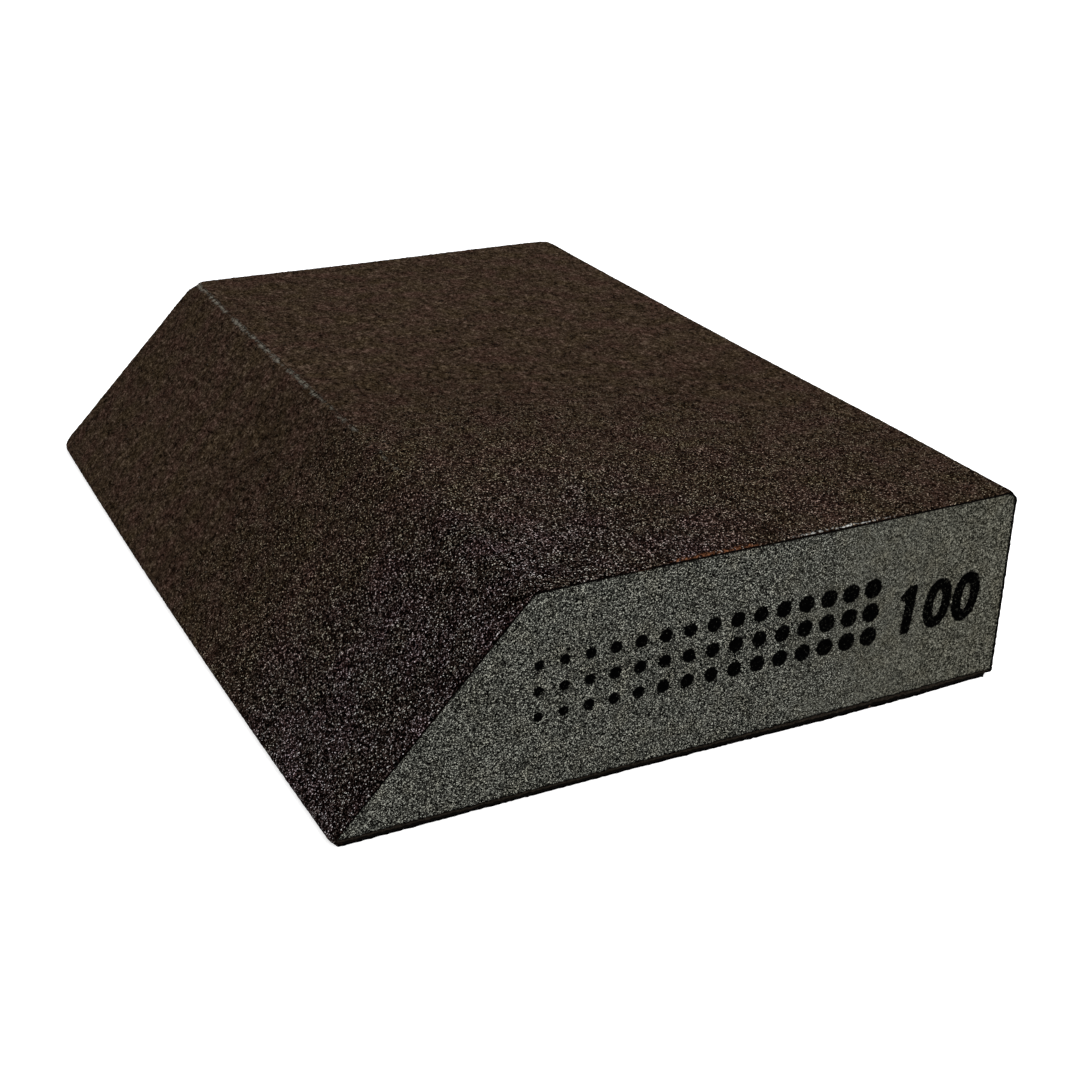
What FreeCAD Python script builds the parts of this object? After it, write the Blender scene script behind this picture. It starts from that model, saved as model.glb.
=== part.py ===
"""Angled sanding block: a sawn bar of flexible foam with four abrasive coats.

The section is a trapezoid in the XZ plane, extruded along Y. One long side stands
square to the base and the other is a bevel that runs down to a sharp toe, for inside
corners. Each long face carries a film of resin, and a layer of grain set in it. The two
sawn ends are bare foam.

Frame: +Z up, +Y along the bar, the bevel towards -X. The origin is the middle of the
base. All sizes are millimetres.
"""

import FreeCAD, Part
import math
import os
from dataclasses import dataclass

from FreeCAD import Vector

# The bar over its coats. Widths run to the sharp corner lines, before rounding.
block_length = 125.0
base_width = 88.5
top_width = 64.5
block_height = 25.0

# Radii of the foam's long edges, under the coats.
toe_radius = 0.3
ridge_radius = 1.0
shoulder_radius = 1.0
heel_radius = 0.8

# Coats. The top and base are coated first, while the foam is a wide slab. The slab is
# then sawn into bars, and the side and bevel get a thinner pass that rolls round the
# bar's long edges and stops against the first coats.
resin_thickness = 0.15
slab_grit_thickness = 0.35
edge_grit_thickness = 0.25

PARTS_FOLDER = "parts"


@dataclass(frozen=True)
class LongFace:
    """One long face of the bar, as a line of the section."""

    name: str
    normal: Vector  # outward, of length 1
    reach: float  # from the section's origin to the coated face, along normal
    grit: float  # thickness of its grain layer
    wraps: bool  # whether its coats roll round the edges at both of its ends

    def foam_reach(self):
        """Distance from the section's origin to the foam under the coats."""
        return self.reach - resin_thickness - self.grit


@dataclass(frozen=True)
class LongEdge:
    """One rounded long edge of the foam, between two faces that meet there."""

    before: LongFace
    after: LongFace
    radius: float

    def centre(self):
        """Centre of the round: inside both foam faces by the radius."""
        n, m = self.before.normal, self.after.normal
        a = self.before.foam_reach() - self.radius
        b = self.after.foam_reach() - self.radius
        spread = n.x * m.z - n.z * m.x
        return Vector((a * m.z - b * n.z) / spread, 0, (b * n.x - a * m.x) / spread)

    def point(self, direction, offset):
        """Point of the round in a direction from its centre, offset from the foam."""
        return self.centre() + direction * (self.radius + offset)

    def arc(self, offset):
        """The round from face to face, offset outwards from the foam."""
        middle = self.before.normal + self.after.normal
        middle.normalize()
        return Part.Arc(
            self.point(self.before.normal, offset),
            self.point(middle, offset),
            self.point(self.after.normal, offset),
        ).toShape()


def long_faces():
    """The four faces in order round the section: base, side, top and bevel.

    The section is drawn with the straight side's coated face on x = 0.
    """
    bevel_run = base_width - top_width
    slope = math.hypot(bevel_run, block_height)
    bevel_normal = Vector(-block_height / slope, 0, bevel_run / slope)
    toe_line = Vector(-base_width, 0, 0)
    return [
        LongFace("base", Vector(0, 0, -1), 0.0, slab_grit_thickness, False),
        LongFace("side", Vector(1, 0, 0), 0.0, edge_grit_thickness, True),
        LongFace("top", Vector(0, 0, 1), block_height, slab_grit_thickness, False),
        LongFace("bevel", bevel_normal, bevel_normal.dot(toe_line), edge_grit_thickness, True),
    ]


def long_edges(faces):
    """The four rounded edges, each named by its place: edge i lies before face i."""
    base, side, top, bevel = faces
    return [
        LongEdge(bevel, base, toe_radius),
        LongEdge(base, side, heel_radius),
        LongEdge(side, top, shoulder_radius),
        LongEdge(top, bevel, ridge_radius),
    ]


def bar(wires_edges):
    """A solid with these edges as its section, as long as the block."""
    section = Part.Face(Part.Wire(Part.__sortEdges__(wires_edges)))
    return section.extrude(Vector(0, block_length, 0))


def face_line(face, start_edge, end_edge, offset):
    """Edges that follow a face at an offset from the foam, with its rounds if it wraps."""
    start = start_edge.point(face.normal, offset)
    end = end_edge.point(face.normal, offset)
    flat = Part.LineSegment(start, end).toShape()
    if not face.wraps:
        return [flat], start, end
    first = start_edge.point(start_edge.before.normal, offset)
    last = end_edge.point(end_edge.after.normal, offset)
    return [start_edge.arc(offset), flat, end_edge.arc(offset)], first, last


def coat(face, start_edge, end_edge, inner, outer):
    """One layer of a face's coat, between two offsets from the foam."""
    inside, inside_start, inside_end = face_line(face, start_edge, end_edge, inner)
    outside, outside_start, outside_end = face_line(face, start_edge, end_edge, outer)
    ends = [
        Part.LineSegment(inside_start, outside_start).toShape(),
        Part.LineSegment(inside_end, outside_end).toShape(),
    ]
    return bar(inside + outside + ends)


def foam_core(faces, edges):
    """The foam bar, with its rounded long edges and square sawn ends."""
    outline = []
    for i, face in enumerate(faces):
        following = edges[(i + 1) % len(edges)]
        start = edges[i].point(face.normal, 0)
        end = following.point(face.normal, 0)
        outline.append(Part.LineSegment(start, end).toShape())
        outline.append(following.arc(0))
    return bar(outline)


def to_frame(toe_edge):
    """Move from the section's origin to the middle of the base.

    The rounded toe stops short of its sharp line, so the middle is taken between the
    straight side and the outermost line of the toe's own round.
    """
    coat_thickness = resin_thickness + edge_grit_thickness
    toe_reach = toe_edge.centre().x - toe_edge.radius - coat_thickness
    return Vector(-toe_reach / 2, -block_length / 2, 0)


def build():
    """Every node of the block as a name and its solid, in the block's own frame."""
    faces = long_faces()
    edges = long_edges(faces)
    nodes = {"foam_core": foam_core(faces, edges)}
    for i, face in enumerate(faces):
        ends = (edges[i], edges[(i + 1) % len(edges)])
        top_of_resin = resin_thickness
        top_of_grit = resin_thickness + face.grit
        nodes[face.name + "_resin_film"] = coat(face, *ends, 0, top_of_resin)
        nodes[face.name + "_grit_layer"] = coat(face, *ends, top_of_resin, top_of_grit)
    move = to_frame(edges[0])
    for shape in nodes.values():
        shape.translate(move)
    return nodes


def main():
    """Write one STEP file per node."""
    os.makedirs(PARTS_FOLDER, exist_ok=True)
    for name, shape in build().items():
        box = shape.BoundBox
        print(f"{name:18s} {box.XLength:8.3f} {box.YLength:8.3f} {box.ZLength:8.3f}"
              f"  volume {shape.Volume:10.1f}  valid {shape.isValid()}")
        shape.exportStep(os.path.join(PARTS_FOLDER, name + ".step"))


if __name__ == "__main__":
    main()
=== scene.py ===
"""Looks of an angled sanding block: foam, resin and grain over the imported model.

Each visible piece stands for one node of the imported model, in metres and in its frame:
+Z up, +Y along the bar, the bevel towards -X. The grain layers and the foam are modelled
straight, as the nodes are. The block is soft, so in the end all pieces settle together and
share one slight bend, lean and bow.
"""

import logging
import math
from collections.abc import Callable, Iterator
from contextlib import contextmanager
from dataclasses import dataclass
from enum import Enum

import bmesh
import bpy
import numpy as np
from mathutils import Matrix, Vector


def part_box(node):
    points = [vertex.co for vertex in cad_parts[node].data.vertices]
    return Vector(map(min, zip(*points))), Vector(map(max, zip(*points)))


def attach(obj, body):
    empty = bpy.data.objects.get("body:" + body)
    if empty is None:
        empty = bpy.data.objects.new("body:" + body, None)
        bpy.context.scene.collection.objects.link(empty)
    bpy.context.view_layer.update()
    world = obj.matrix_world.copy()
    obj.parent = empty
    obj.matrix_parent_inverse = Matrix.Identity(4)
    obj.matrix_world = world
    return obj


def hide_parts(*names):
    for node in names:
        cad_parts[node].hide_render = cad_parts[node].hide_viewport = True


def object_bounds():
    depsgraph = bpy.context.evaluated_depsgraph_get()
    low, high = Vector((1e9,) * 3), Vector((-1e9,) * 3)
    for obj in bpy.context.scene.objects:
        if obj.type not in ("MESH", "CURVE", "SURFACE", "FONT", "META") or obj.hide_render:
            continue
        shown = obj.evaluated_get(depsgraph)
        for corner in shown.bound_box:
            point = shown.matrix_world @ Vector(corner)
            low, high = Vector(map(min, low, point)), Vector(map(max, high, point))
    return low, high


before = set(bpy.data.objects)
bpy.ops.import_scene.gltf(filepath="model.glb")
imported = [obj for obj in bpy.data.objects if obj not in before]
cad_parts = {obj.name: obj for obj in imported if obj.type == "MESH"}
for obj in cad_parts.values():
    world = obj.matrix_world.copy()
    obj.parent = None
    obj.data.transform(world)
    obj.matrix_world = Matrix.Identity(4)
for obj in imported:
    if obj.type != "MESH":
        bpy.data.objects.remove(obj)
CAD_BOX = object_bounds()

LOG = logging.getLogger("sanding_block")

MM = 0.001
TINY = 1e-6
BODY = "root"

# The subdivide operator makes at most this many parts of an edge.
MOST_PARTS = 100

# An edge counts as a long one from this share of the long ones' length.
NEARLY = 0.9

# A point counts as on a surface when it is this close to it.
CLOSE = 0.02 * MM

# Vertex groups hold their weights in steps of one part in this many.
WEIGHT_STEPS = 16

# Each shape of standing grain comes from one of these.
GRAIN_SEEDS = range(1, 6)

Triple = tuple[float, float, float]
Colour = Triple
Stops = tuple[tuple[float, Colour], ...]

# A mesh's vertices, one row each, and its faces.
Shape = tuple[np.ndarray, list[tuple[int, ...]]]

WHITE: Colour = (1.0, 1.0, 1.0)


class Face(Enum):
    """The four coated long faces, in order round the section."""

    BASE = "base"
    SIDE = "side"
    TOP = "top"
    BEVEL = "bevel"


class Slot(Enum):
    """The record's material slots."""

    FOAM = "foam"
    RESIN = "resin"
    GRIT = "grit"


class Pattern(Enum):
    """Procedural patterns that a relief is pressed from."""

    CLOUDS = "CLOUDS"
    CELLS = "VORONOI"


class Mask(Enum):
    """Attributes and vertex groups that say where a finish or a relief goes."""

    OUTER = "outer"
    SAWN = "sawn"
    CUT = "cut_face"
    WEAR = "wear"
    RIDGE = "ridge"
    AMBER = "amber"
    TONE = "tone"
    INK = "ink"


# --------------------------------------
# Modelling
# --------------------------------------


def deselect_all() -> None:
    """Clear the selection, so that the next operator acts on its own piece only."""
    bpy.ops.object.select_all(action="DESELECT")


def take_primitive(name: str) -> bpy.types.Object:
    """Name the primitive just added, and move its place into its mesh.

    Args:
        name: Name for the piece and its mesh.

    Returns:
        The piece, with its object at the origin.
    """
    piece = bpy.context.active_object
    piece.name = name
    piece.data.name = name
    bpy.ops.object.transform_apply(location=True, rotation=True, scale=True)
    return piece


def apply_modifier(piece: bpy.types.Object, modifier: bpy.types.Modifier) -> None:
    """Apply one modifier to its piece.

    Args:
        piece: The piece.
        modifier: The modifier, one of the piece's own.
    """
    deselect_all()
    piece.select_set(True)
    bpy.context.view_layer.objects.active = piece
    bpy.ops.object.modifier_apply(modifier=modifier.name)


def points_of(piece: bpy.types.Object) -> np.ndarray:
    """Read where a piece's vertices are.

    Args:
        piece: The piece.

    Returns:
        Their places, one row each.
    """
    places = np.empty(len(piece.data.vertices) * 3)
    piece.data.vertices.foreach_get("co", places)
    return places.reshape(-1, 3)


def move_points(piece: bpy.types.Object, places: np.ndarray) -> None:
    """Put a piece's vertices at new places."""
    piece.data.vertices.foreach_set("co", places.ravel())
    piece.data.update()


def write_mask(piece: bpy.types.Object, mask: Mask, values: np.ndarray) -> None:
    """Store one number per vertex, for a material to read.

    Args:
        piece: The piece.
        mask: What the numbers say.
        values: One number for each vertex.
    """
    attribute = piece.data.attributes.new(mask.value, "FLOAT", "POINT")
    attribute.data.foreach_set("value", values.astype(np.float32))


def write_group(piece: bpy.types.Object, mask: Mask, weights: np.ndarray) -> None:
    """Store weights as a vertex group, for a modifier to read.

    Args:
        piece: The piece.
        mask: The group's name.
        weights: One weight from 0 to 1 for each vertex.
    """
    group = piece.vertex_groups.new(name=mask.value)
    steps = np.round(weights * WEIGHT_STEPS).astype(int)
    for step in range(1, WEIGHT_STEPS + 1):
        chosen = np.flatnonzero(steps == step)
        if len(chosen):
            group.add(chosen.tolist(), step / WEIGHT_STEPS, "REPLACE")


def smooth_step(values: np.ndarray, low: float, high: float) -> np.ndarray:
    """Rise smoothly from 0 at low to 1 at high."""
    t = np.clip((values - low) / (high - low), 0.0, 1.0)
    return t * t * (3.0 - 2.0 * t)


class Bench:
    """Edit-mode work on one piece, with its parts picked by their place."""

    def __init__(self, piece: bpy.types.Object) -> None:
        """Hold the piece that is worked on."""
        self.piece = piece

    @contextmanager
    def editing(self) -> Iterator["Bench"]:
        """Enter edit mode for the length of a with block.

        Yields:
            The bench itself.
        """
        deselect_all()
        self.piece.select_set(True)
        bpy.context.view_layer.objects.active = self.piece
        bpy.ops.object.mode_set(mode="EDIT")
        bpy.ops.mesh.select_all(action="DESELECT")
        yield self
        bpy.ops.object.mode_set(mode="OBJECT")

    def pick(self, kind: str, find: Callable[[bmesh.types.BMesh], list]) -> None:
        """Select parts of the mesh, and nothing else.

        Args:
            kind: The select mode, EDGE or FACE.
            find: Takes the mesh and finds its parts to select.
        """
        bpy.ops.mesh.select_mode(type=kind)
        bpy.ops.mesh.select_all(action="DESELECT")
        mesh = bmesh.from_edit_mesh(self.piece.data)
        for part in find(mesh):
            part.select = True
        mesh.select_flush_mode()
        bmesh.update_edit_mesh(self.piece.data, loop_triangles=False)

    def pick_edges(self, test: Callable[[Vector, Vector], bool]) -> None:
        """Select the edges whose two end points pass a test."""
        self.pick("EDGE", lambda mesh: [edge for edge in mesh.edges
                                        if test(edge.verts[0].co, edge.verts[1].co)])

    def pick_faces(self, test: Callable[[Vector, Vector], bool]) -> None:
        """Select the faces whose middle and normal pass a test."""
        self.pick("FACE", lambda mesh: [face for face in mesh.faces
                                        if test(face.calc_center_median(), face.normal)])

    def divide(self, parts: int) -> None:
        """Cut every selected edge into equal parts."""
        if parts > 1:
            bpy.ops.mesh.subdivide(number_cuts=parts - 1)

    def divide_long(self, length: float, parts: int,
                    test: Callable[[Vector, Vector], bool]) -> None:
        """Cut long edges into more equal parts than one operator makes.

        Args:
            length: Length of the edges.
            parts: How many parts they are cut into, at least.
            test: Takes both end points of an edge that is long enough.
        """
        first = math.ceil(parts / MOST_PARTS)
        for share in (first, math.ceil(parts / first)):
            self.pick_edges(lambda a, b: (b - a).length > NEARLY * length and test(a, b))
            self.divide(share)
            length /= share


@dataclass(frozen=True)
class Relief:
    """A fine relief, pressed inwards from a surface.

    Attributes:
        pattern: The pattern it comes from.
        pitch: Size of the pattern's features.
        depth: Depth from the highest point to the lowest.
        mask: Vertex group that it is limited to.
    """

    pattern: Pattern
    pitch: float
    depth: float
    mask: Mask

    def press(self, piece: bpy.types.Object) -> None:
        """Press the relief into a piece.

        Args:
            piece: The piece, which has a vertex group for the mask.
        """
        texture = bpy.data.textures.new(f"{piece.name}_{self.mask.value}", self.pattern.value)
        texture.noise_scale = self.pitch
        if self.pattern is Pattern.CLOUDS:
            texture.noise_depth = 1
        modifier = piece.modifiers.new("relief", "DISPLACE")
        modifier.texture = texture
        modifier.texture_coords = "LOCAL"
        modifier.direction = "NORMAL"
        modifier.vertex_group = self.mask.value
        modifier.mid_level = 1.0
        modifier.strength = self.depth
        apply_modifier(piece, modifier)


# --------------------------------------
# The bar's section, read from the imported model
# --------------------------------------


@dataclass(frozen=True)
class Round:
    """A rounded long edge of the foam, seen along the bar.

    Attributes:
        x: Centre of the round, across the bar.
        z: Centre of the round, above the base.
        radius: Radius of the foam.
        start: Direction of the face before it, as an angle from +X towards +Z.
        end: Direction of the face after it.
    """

    x: float
    z: float
    radius: float
    start: float
    end: float

    def point(self, angle: float, offset: float) -> Vector:
        """Point in a direction from the centre, offset outwards from the foam."""
        reach = self.radius + offset
        return Vector((self.x + reach * math.cos(angle), 0.0, self.z + reach * math.sin(angle)))

    def offsets(self, across: np.ndarray, up: np.ndarray) -> tuple[np.ndarray, np.ndarray]:
        """Measure points from this round.

        Args:
            across: Places across the bar.
            up: Places above the base.

        Returns:
            Each point's height over the foam, and whether it lies in the round's sector.
        """
        reach = np.hypot(across - self.x, up - self.z)
        turn = np.arctan2(up - self.z, across - self.x) - self.start
        turn = (turn + TINY) % (2 * math.pi) - TINY
        return reach - self.radius, turn <= self.end - self.start + TINY


@dataclass(frozen=True)
class Section:
    """The bar's section: four flat faces, and the round that lies before each.

    Attributes:
        length: Length of the bar.
        rounds: The round before each face.
        film: Thickness of every resin film.
        grit: Thickness of each face's grain layer.
    """

    length: float
    rounds: dict[Face, Round]
    film: float
    grit: dict[Face, float]

    @classmethod
    def from_frame(cls, ridge_radius: float) -> "Section":
        """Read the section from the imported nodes.

        Args:
            ridge_radius: Radius of the foam's ridge, which no node's box shows.

        Returns:
            The section.
        """
        foam_low, foam_high = (Vector(corner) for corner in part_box("foam_core"))
        base_low, base_high = (Vector(corner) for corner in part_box("base_grit_layer"))
        top_low, top_high = (Vector(corner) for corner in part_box("top_grit_layer"))
        film_low, film_high = (Vector(corner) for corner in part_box("top_resin_film"))
        side_film_high = Vector(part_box("side_resin_film")[1])
        side_high = Vector(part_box("side_grit_layer")[1])
        toe_radius = base_low.x - foam_low.x
        heel_radius = foam_high.x - base_high.x
        shoulder_radius = foam_high.x - top_high.x
        toe = (base_low.x, foam_low.z + toe_radius)
        ridge = (top_low.x, foam_high.z - ridge_radius)
        run, rise = ridge[0] - toe[0], ridge[1] - toe[1]
        tangent = math.acos((toe_radius - ridge_radius) / math.hypot(run, rise))
        bevel = math.atan2(rise, run) + tangent
        quarter = math.pi / 2
        edge_grit = side_high.x - side_film_high.x
        return cls(
            length=foam_high.y - foam_low.y,
            rounds={
                Face.BASE: Round(*toe, toe_radius, bevel, 3 * quarter),
                Face.SIDE: Round(base_high.x, foam_low.z + heel_radius, heel_radius, -quarter, 0.0),
                Face.TOP: Round(top_high.x, foam_high.z - shoulder_radius, shoulder_radius,
                                0.0, quarter),
                Face.BEVEL: Round(*ridge, ridge_radius, quarter, bevel),
            },
            film=film_high.z - film_low.z,
            grit={
                Face.BASE: base_high.z - base_low.z,
                Face.SIDE: edge_grit,
                Face.TOP: top_high.z - top_low.z,
                Face.BEVEL: edge_grit,
            },
        )

    def round_after(self, face: Face) -> Round:
        """The round at the far end of a face."""
        faces = list(Face)
        return self.rounds[faces[(faces.index(face) + 1) % len(faces)]]

    def angle(self, face: Face) -> float:
        """Direction that a face looks in."""
        return self.rounds[face].end

    def normal(self, face: Face) -> Vector:
        """Outward direction of a face, of length 1."""
        return Vector((math.cos(self.angle(face)), 0.0, math.sin(self.angle(face))))

    def along(self, face: Face) -> Vector:
        """Direction along a face, in order round the section."""
        return Vector((-math.sin(self.angle(face)), 0.0, math.cos(self.angle(face))))

    def flat(self, face: Face, offset: float) -> tuple[Vector, Vector]:
        """Find both ends of a face's flat part.

        Args:
            face: The face.
            offset: Distance outwards from the foam.

        Returns:
            Its start and its end.
        """
        start = self.rounds[face].point(self.angle(face), offset)
        end = self.round_after(face).point(self.angle(face), offset)
        return start, end

    def height(self, face: Face, places: np.ndarray) -> np.ndarray:
        """Height of points over the foam, for points near one face and its rounds.

        Args:
            face: The face that the points are near.
            places: Points, one row each.

        Returns:
            One height for each point.
        """
        normal = np.array(self.normal(face))
        foot = np.array(self.flat(face, 0.0)[0])
        heights = (places - foot) @ normal
        for corner in (self.rounds[face], self.round_after(face)):
            over, inside = corner.offsets(places[:, 0], places[:, 2])
            heights = np.where(inside, over, heights)
        return heights

    def outline(self, steps: dict[Face, int]) -> list[Vector]:
        """The foam's outline, in order round the section.

        Args:
            steps: How many segments each face's round is drawn with.

        Returns:
            The outline's corners.
        """
        corners = []
        for face, corner in self.rounds.items():
            turn = (corner.end - corner.start) / steps[face]
            corners += [corner.point(corner.start + turn * k, 0.0) for k in range(steps[face] + 1)]
        return corners


# --------------------------------------
# Coats
# --------------------------------------

# Stretches that every long face is cut into along the bar, so that it can follow the bow.
STRETCHES = 16

# How much narrower the strips are on the rounds than on the flats.
ROUND_FINENESS = 2.5


@dataclass(frozen=True)
class Layer:
    """One even layer of a face's coat, ready for its relief.

    Attributes:
        section: The bar's section.
        face: The face that it covers.
        inner: Height of its underside over the foam.
        outer: Height of its outside over the foam.
        across: Width of the strips that it is divided into.
        along: Length of the cells that the strips' outsides are divided into.
        rows: Rows of faces through its thickness, at the sawn ends.
        rolls: Whether it rolls round the rounds at both ends of the face.
    """

    section: Section
    face: Face
    inner: float
    outer: float
    across: float
    along: float
    rows: int
    rolls: bool

    def block_out(self, name: str) -> bpy.types.Object:
        """Start from a box at the flat part's size and place.

        Args:
            name: Name of the piece.

        Returns:
            A closed box, turned to lie along the face.
        """
        start, end = self.section.flat(self.face, (self.inner + self.outer) / 2)
        turn = math.pi / 2 - self.section.angle(self.face)
        deselect_all()
        bpy.ops.mesh.primitive_cube_add(
            size=1.0,
            location=(start + end) / 2,
            rotation=(0.0, turn, 0.0),
            scale=((end - start).length, self.section.length, self.outer - self.inner),
        )
        return take_primitive(name)

    def roll(self, bench: Bench, corner: Round, forward: bool) -> None:
        """Roll the layer on round a corner.

        Args:
            bench: The piece, in edit mode.
            corner: The round that it follows.
            forward: Whether the corner comes after the face.
        """
        along = self.section.along(self.face) * (1 if forward else -1)
        seam = corner.point(self.section.angle(self.face), (self.inner + self.outer) / 2)
        bench.pick_faces(lambda middle, normal: normal.dot(along) > NEARLY
                         and (middle - seam).length < CLOSE)
        angle = corner.end - corner.start
        arc = angle * (corner.radius + self.outer)
        bpy.ops.mesh.spin(
            steps=max(3, round(ROUND_FINENESS * arc / self.across)),
            angle=angle if forward else -angle,
            center=(corner.x, 0.0, corner.z),
            axis=(0.0, 1.0, 0.0),
        )

    def on_outside(self, point: Vector) -> bool:
        """Whether a point of the blocked-out layer lies on its outside."""
        height = self.section.height(self.face, np.array([point]))[0]
        return abs(height - self.outer) < CLOSE

    def build(self, name: str) -> bpy.types.Object:
        """Model the layer as a closed shell with an evenly divided outside.

        Args:
            name: Name of the piece.

        Returns:
            The layer, with no relief yet.
        """
        section, half = self.section, self.section.length / 2
        piece = self.block_out(name)
        bench = Bench(piece)
        start, end = section.flat(self.face, self.outer)
        width = (end - start).length
        stretch = section.length / STRETCHES
        thickness = self.outer - self.inner
        with bench.editing():
            if self.rolls:
                self.roll(bench, section.round_after(self.face), forward=True)
                self.roll(bench, section.rounds[self.face], forward=False)
            bench.divide_long(width, math.ceil(width / self.across),
                              lambda a, b: abs(a.y - b.y) < TINY)
            bench.pick_edges(lambda a, b: abs(a.y - b.y) > NEARLY * section.length)
            bench.divide(STRETCHES)
            bench.pick_edges(
                lambda a, b: abs(a.y - b.y) > NEARLY * stretch and self.on_outside(a)
            )
            bench.divide(math.ceil(stretch / self.along))
            bench.pick_edges(
                lambda a, b: abs(a.y) > half - TINY
                and abs(b.y) > half - TINY
                and self.on_outside(a) != self.on_outside(b)
                and abs((b - a).length - thickness) < TINY
            )
            bench.divide(self.rows)
        return piece


@dataclass(frozen=True)
class Grain:
    """One loose-standing grain, as a solid of a few flat facets.

    Attributes:
        seed: Chooses its cuts.
        cuts: How many corners are knocked off.
        size: Side of the cube that it starts from.
        slimness: Least and greatest share of that side that each side keeps.
        slope: Least and greatest part that each axis has in the direction of a cut.
        depth: Least and greatest distance of a cut from the middle.
    """

    seed: int
    cuts: int = 3
    size: float = 0.86
    slimness: tuple[float, float] = (0.62, 1.0)
    slope: tuple[float, float] = (0.4, 1.0)
    depth: tuple[float, float] = (0.22, 0.36)

    def build(self) -> Shape:
        """Model the grain from a cube, and take its mesh.

        Returns:
            Its mesh, about 1 across and round the origin.
        """
        chance = np.random.default_rng(self.seed)
        deselect_all()
        shape = chance.uniform(*self.slimness, 3)
        bpy.ops.mesh.primitive_cube_add(size=self.size, scale=shape)
        piece = take_primitive("grain")
        with Bench(piece).editing():
            for _ in range(self.cuts):
                side = chance.choice((-1.0, 1.0), 3)
                direction = Vector(side * chance.uniform(*self.slope, 3))
                direction.normalize()
                bpy.ops.mesh.select_all(action="SELECT")
                bpy.ops.mesh.bisect(
                    plane_co=direction * chance.uniform(*self.depth),
                    plane_no=direction,
                    use_fill=True,
                    clear_outer=True,
                )
        places = points_of(piece)
        faces = [tuple(polygon.vertices) for polygon in piece.data.polygons]
        bpy.data.objects.remove(piece)
        return places, faces


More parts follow.
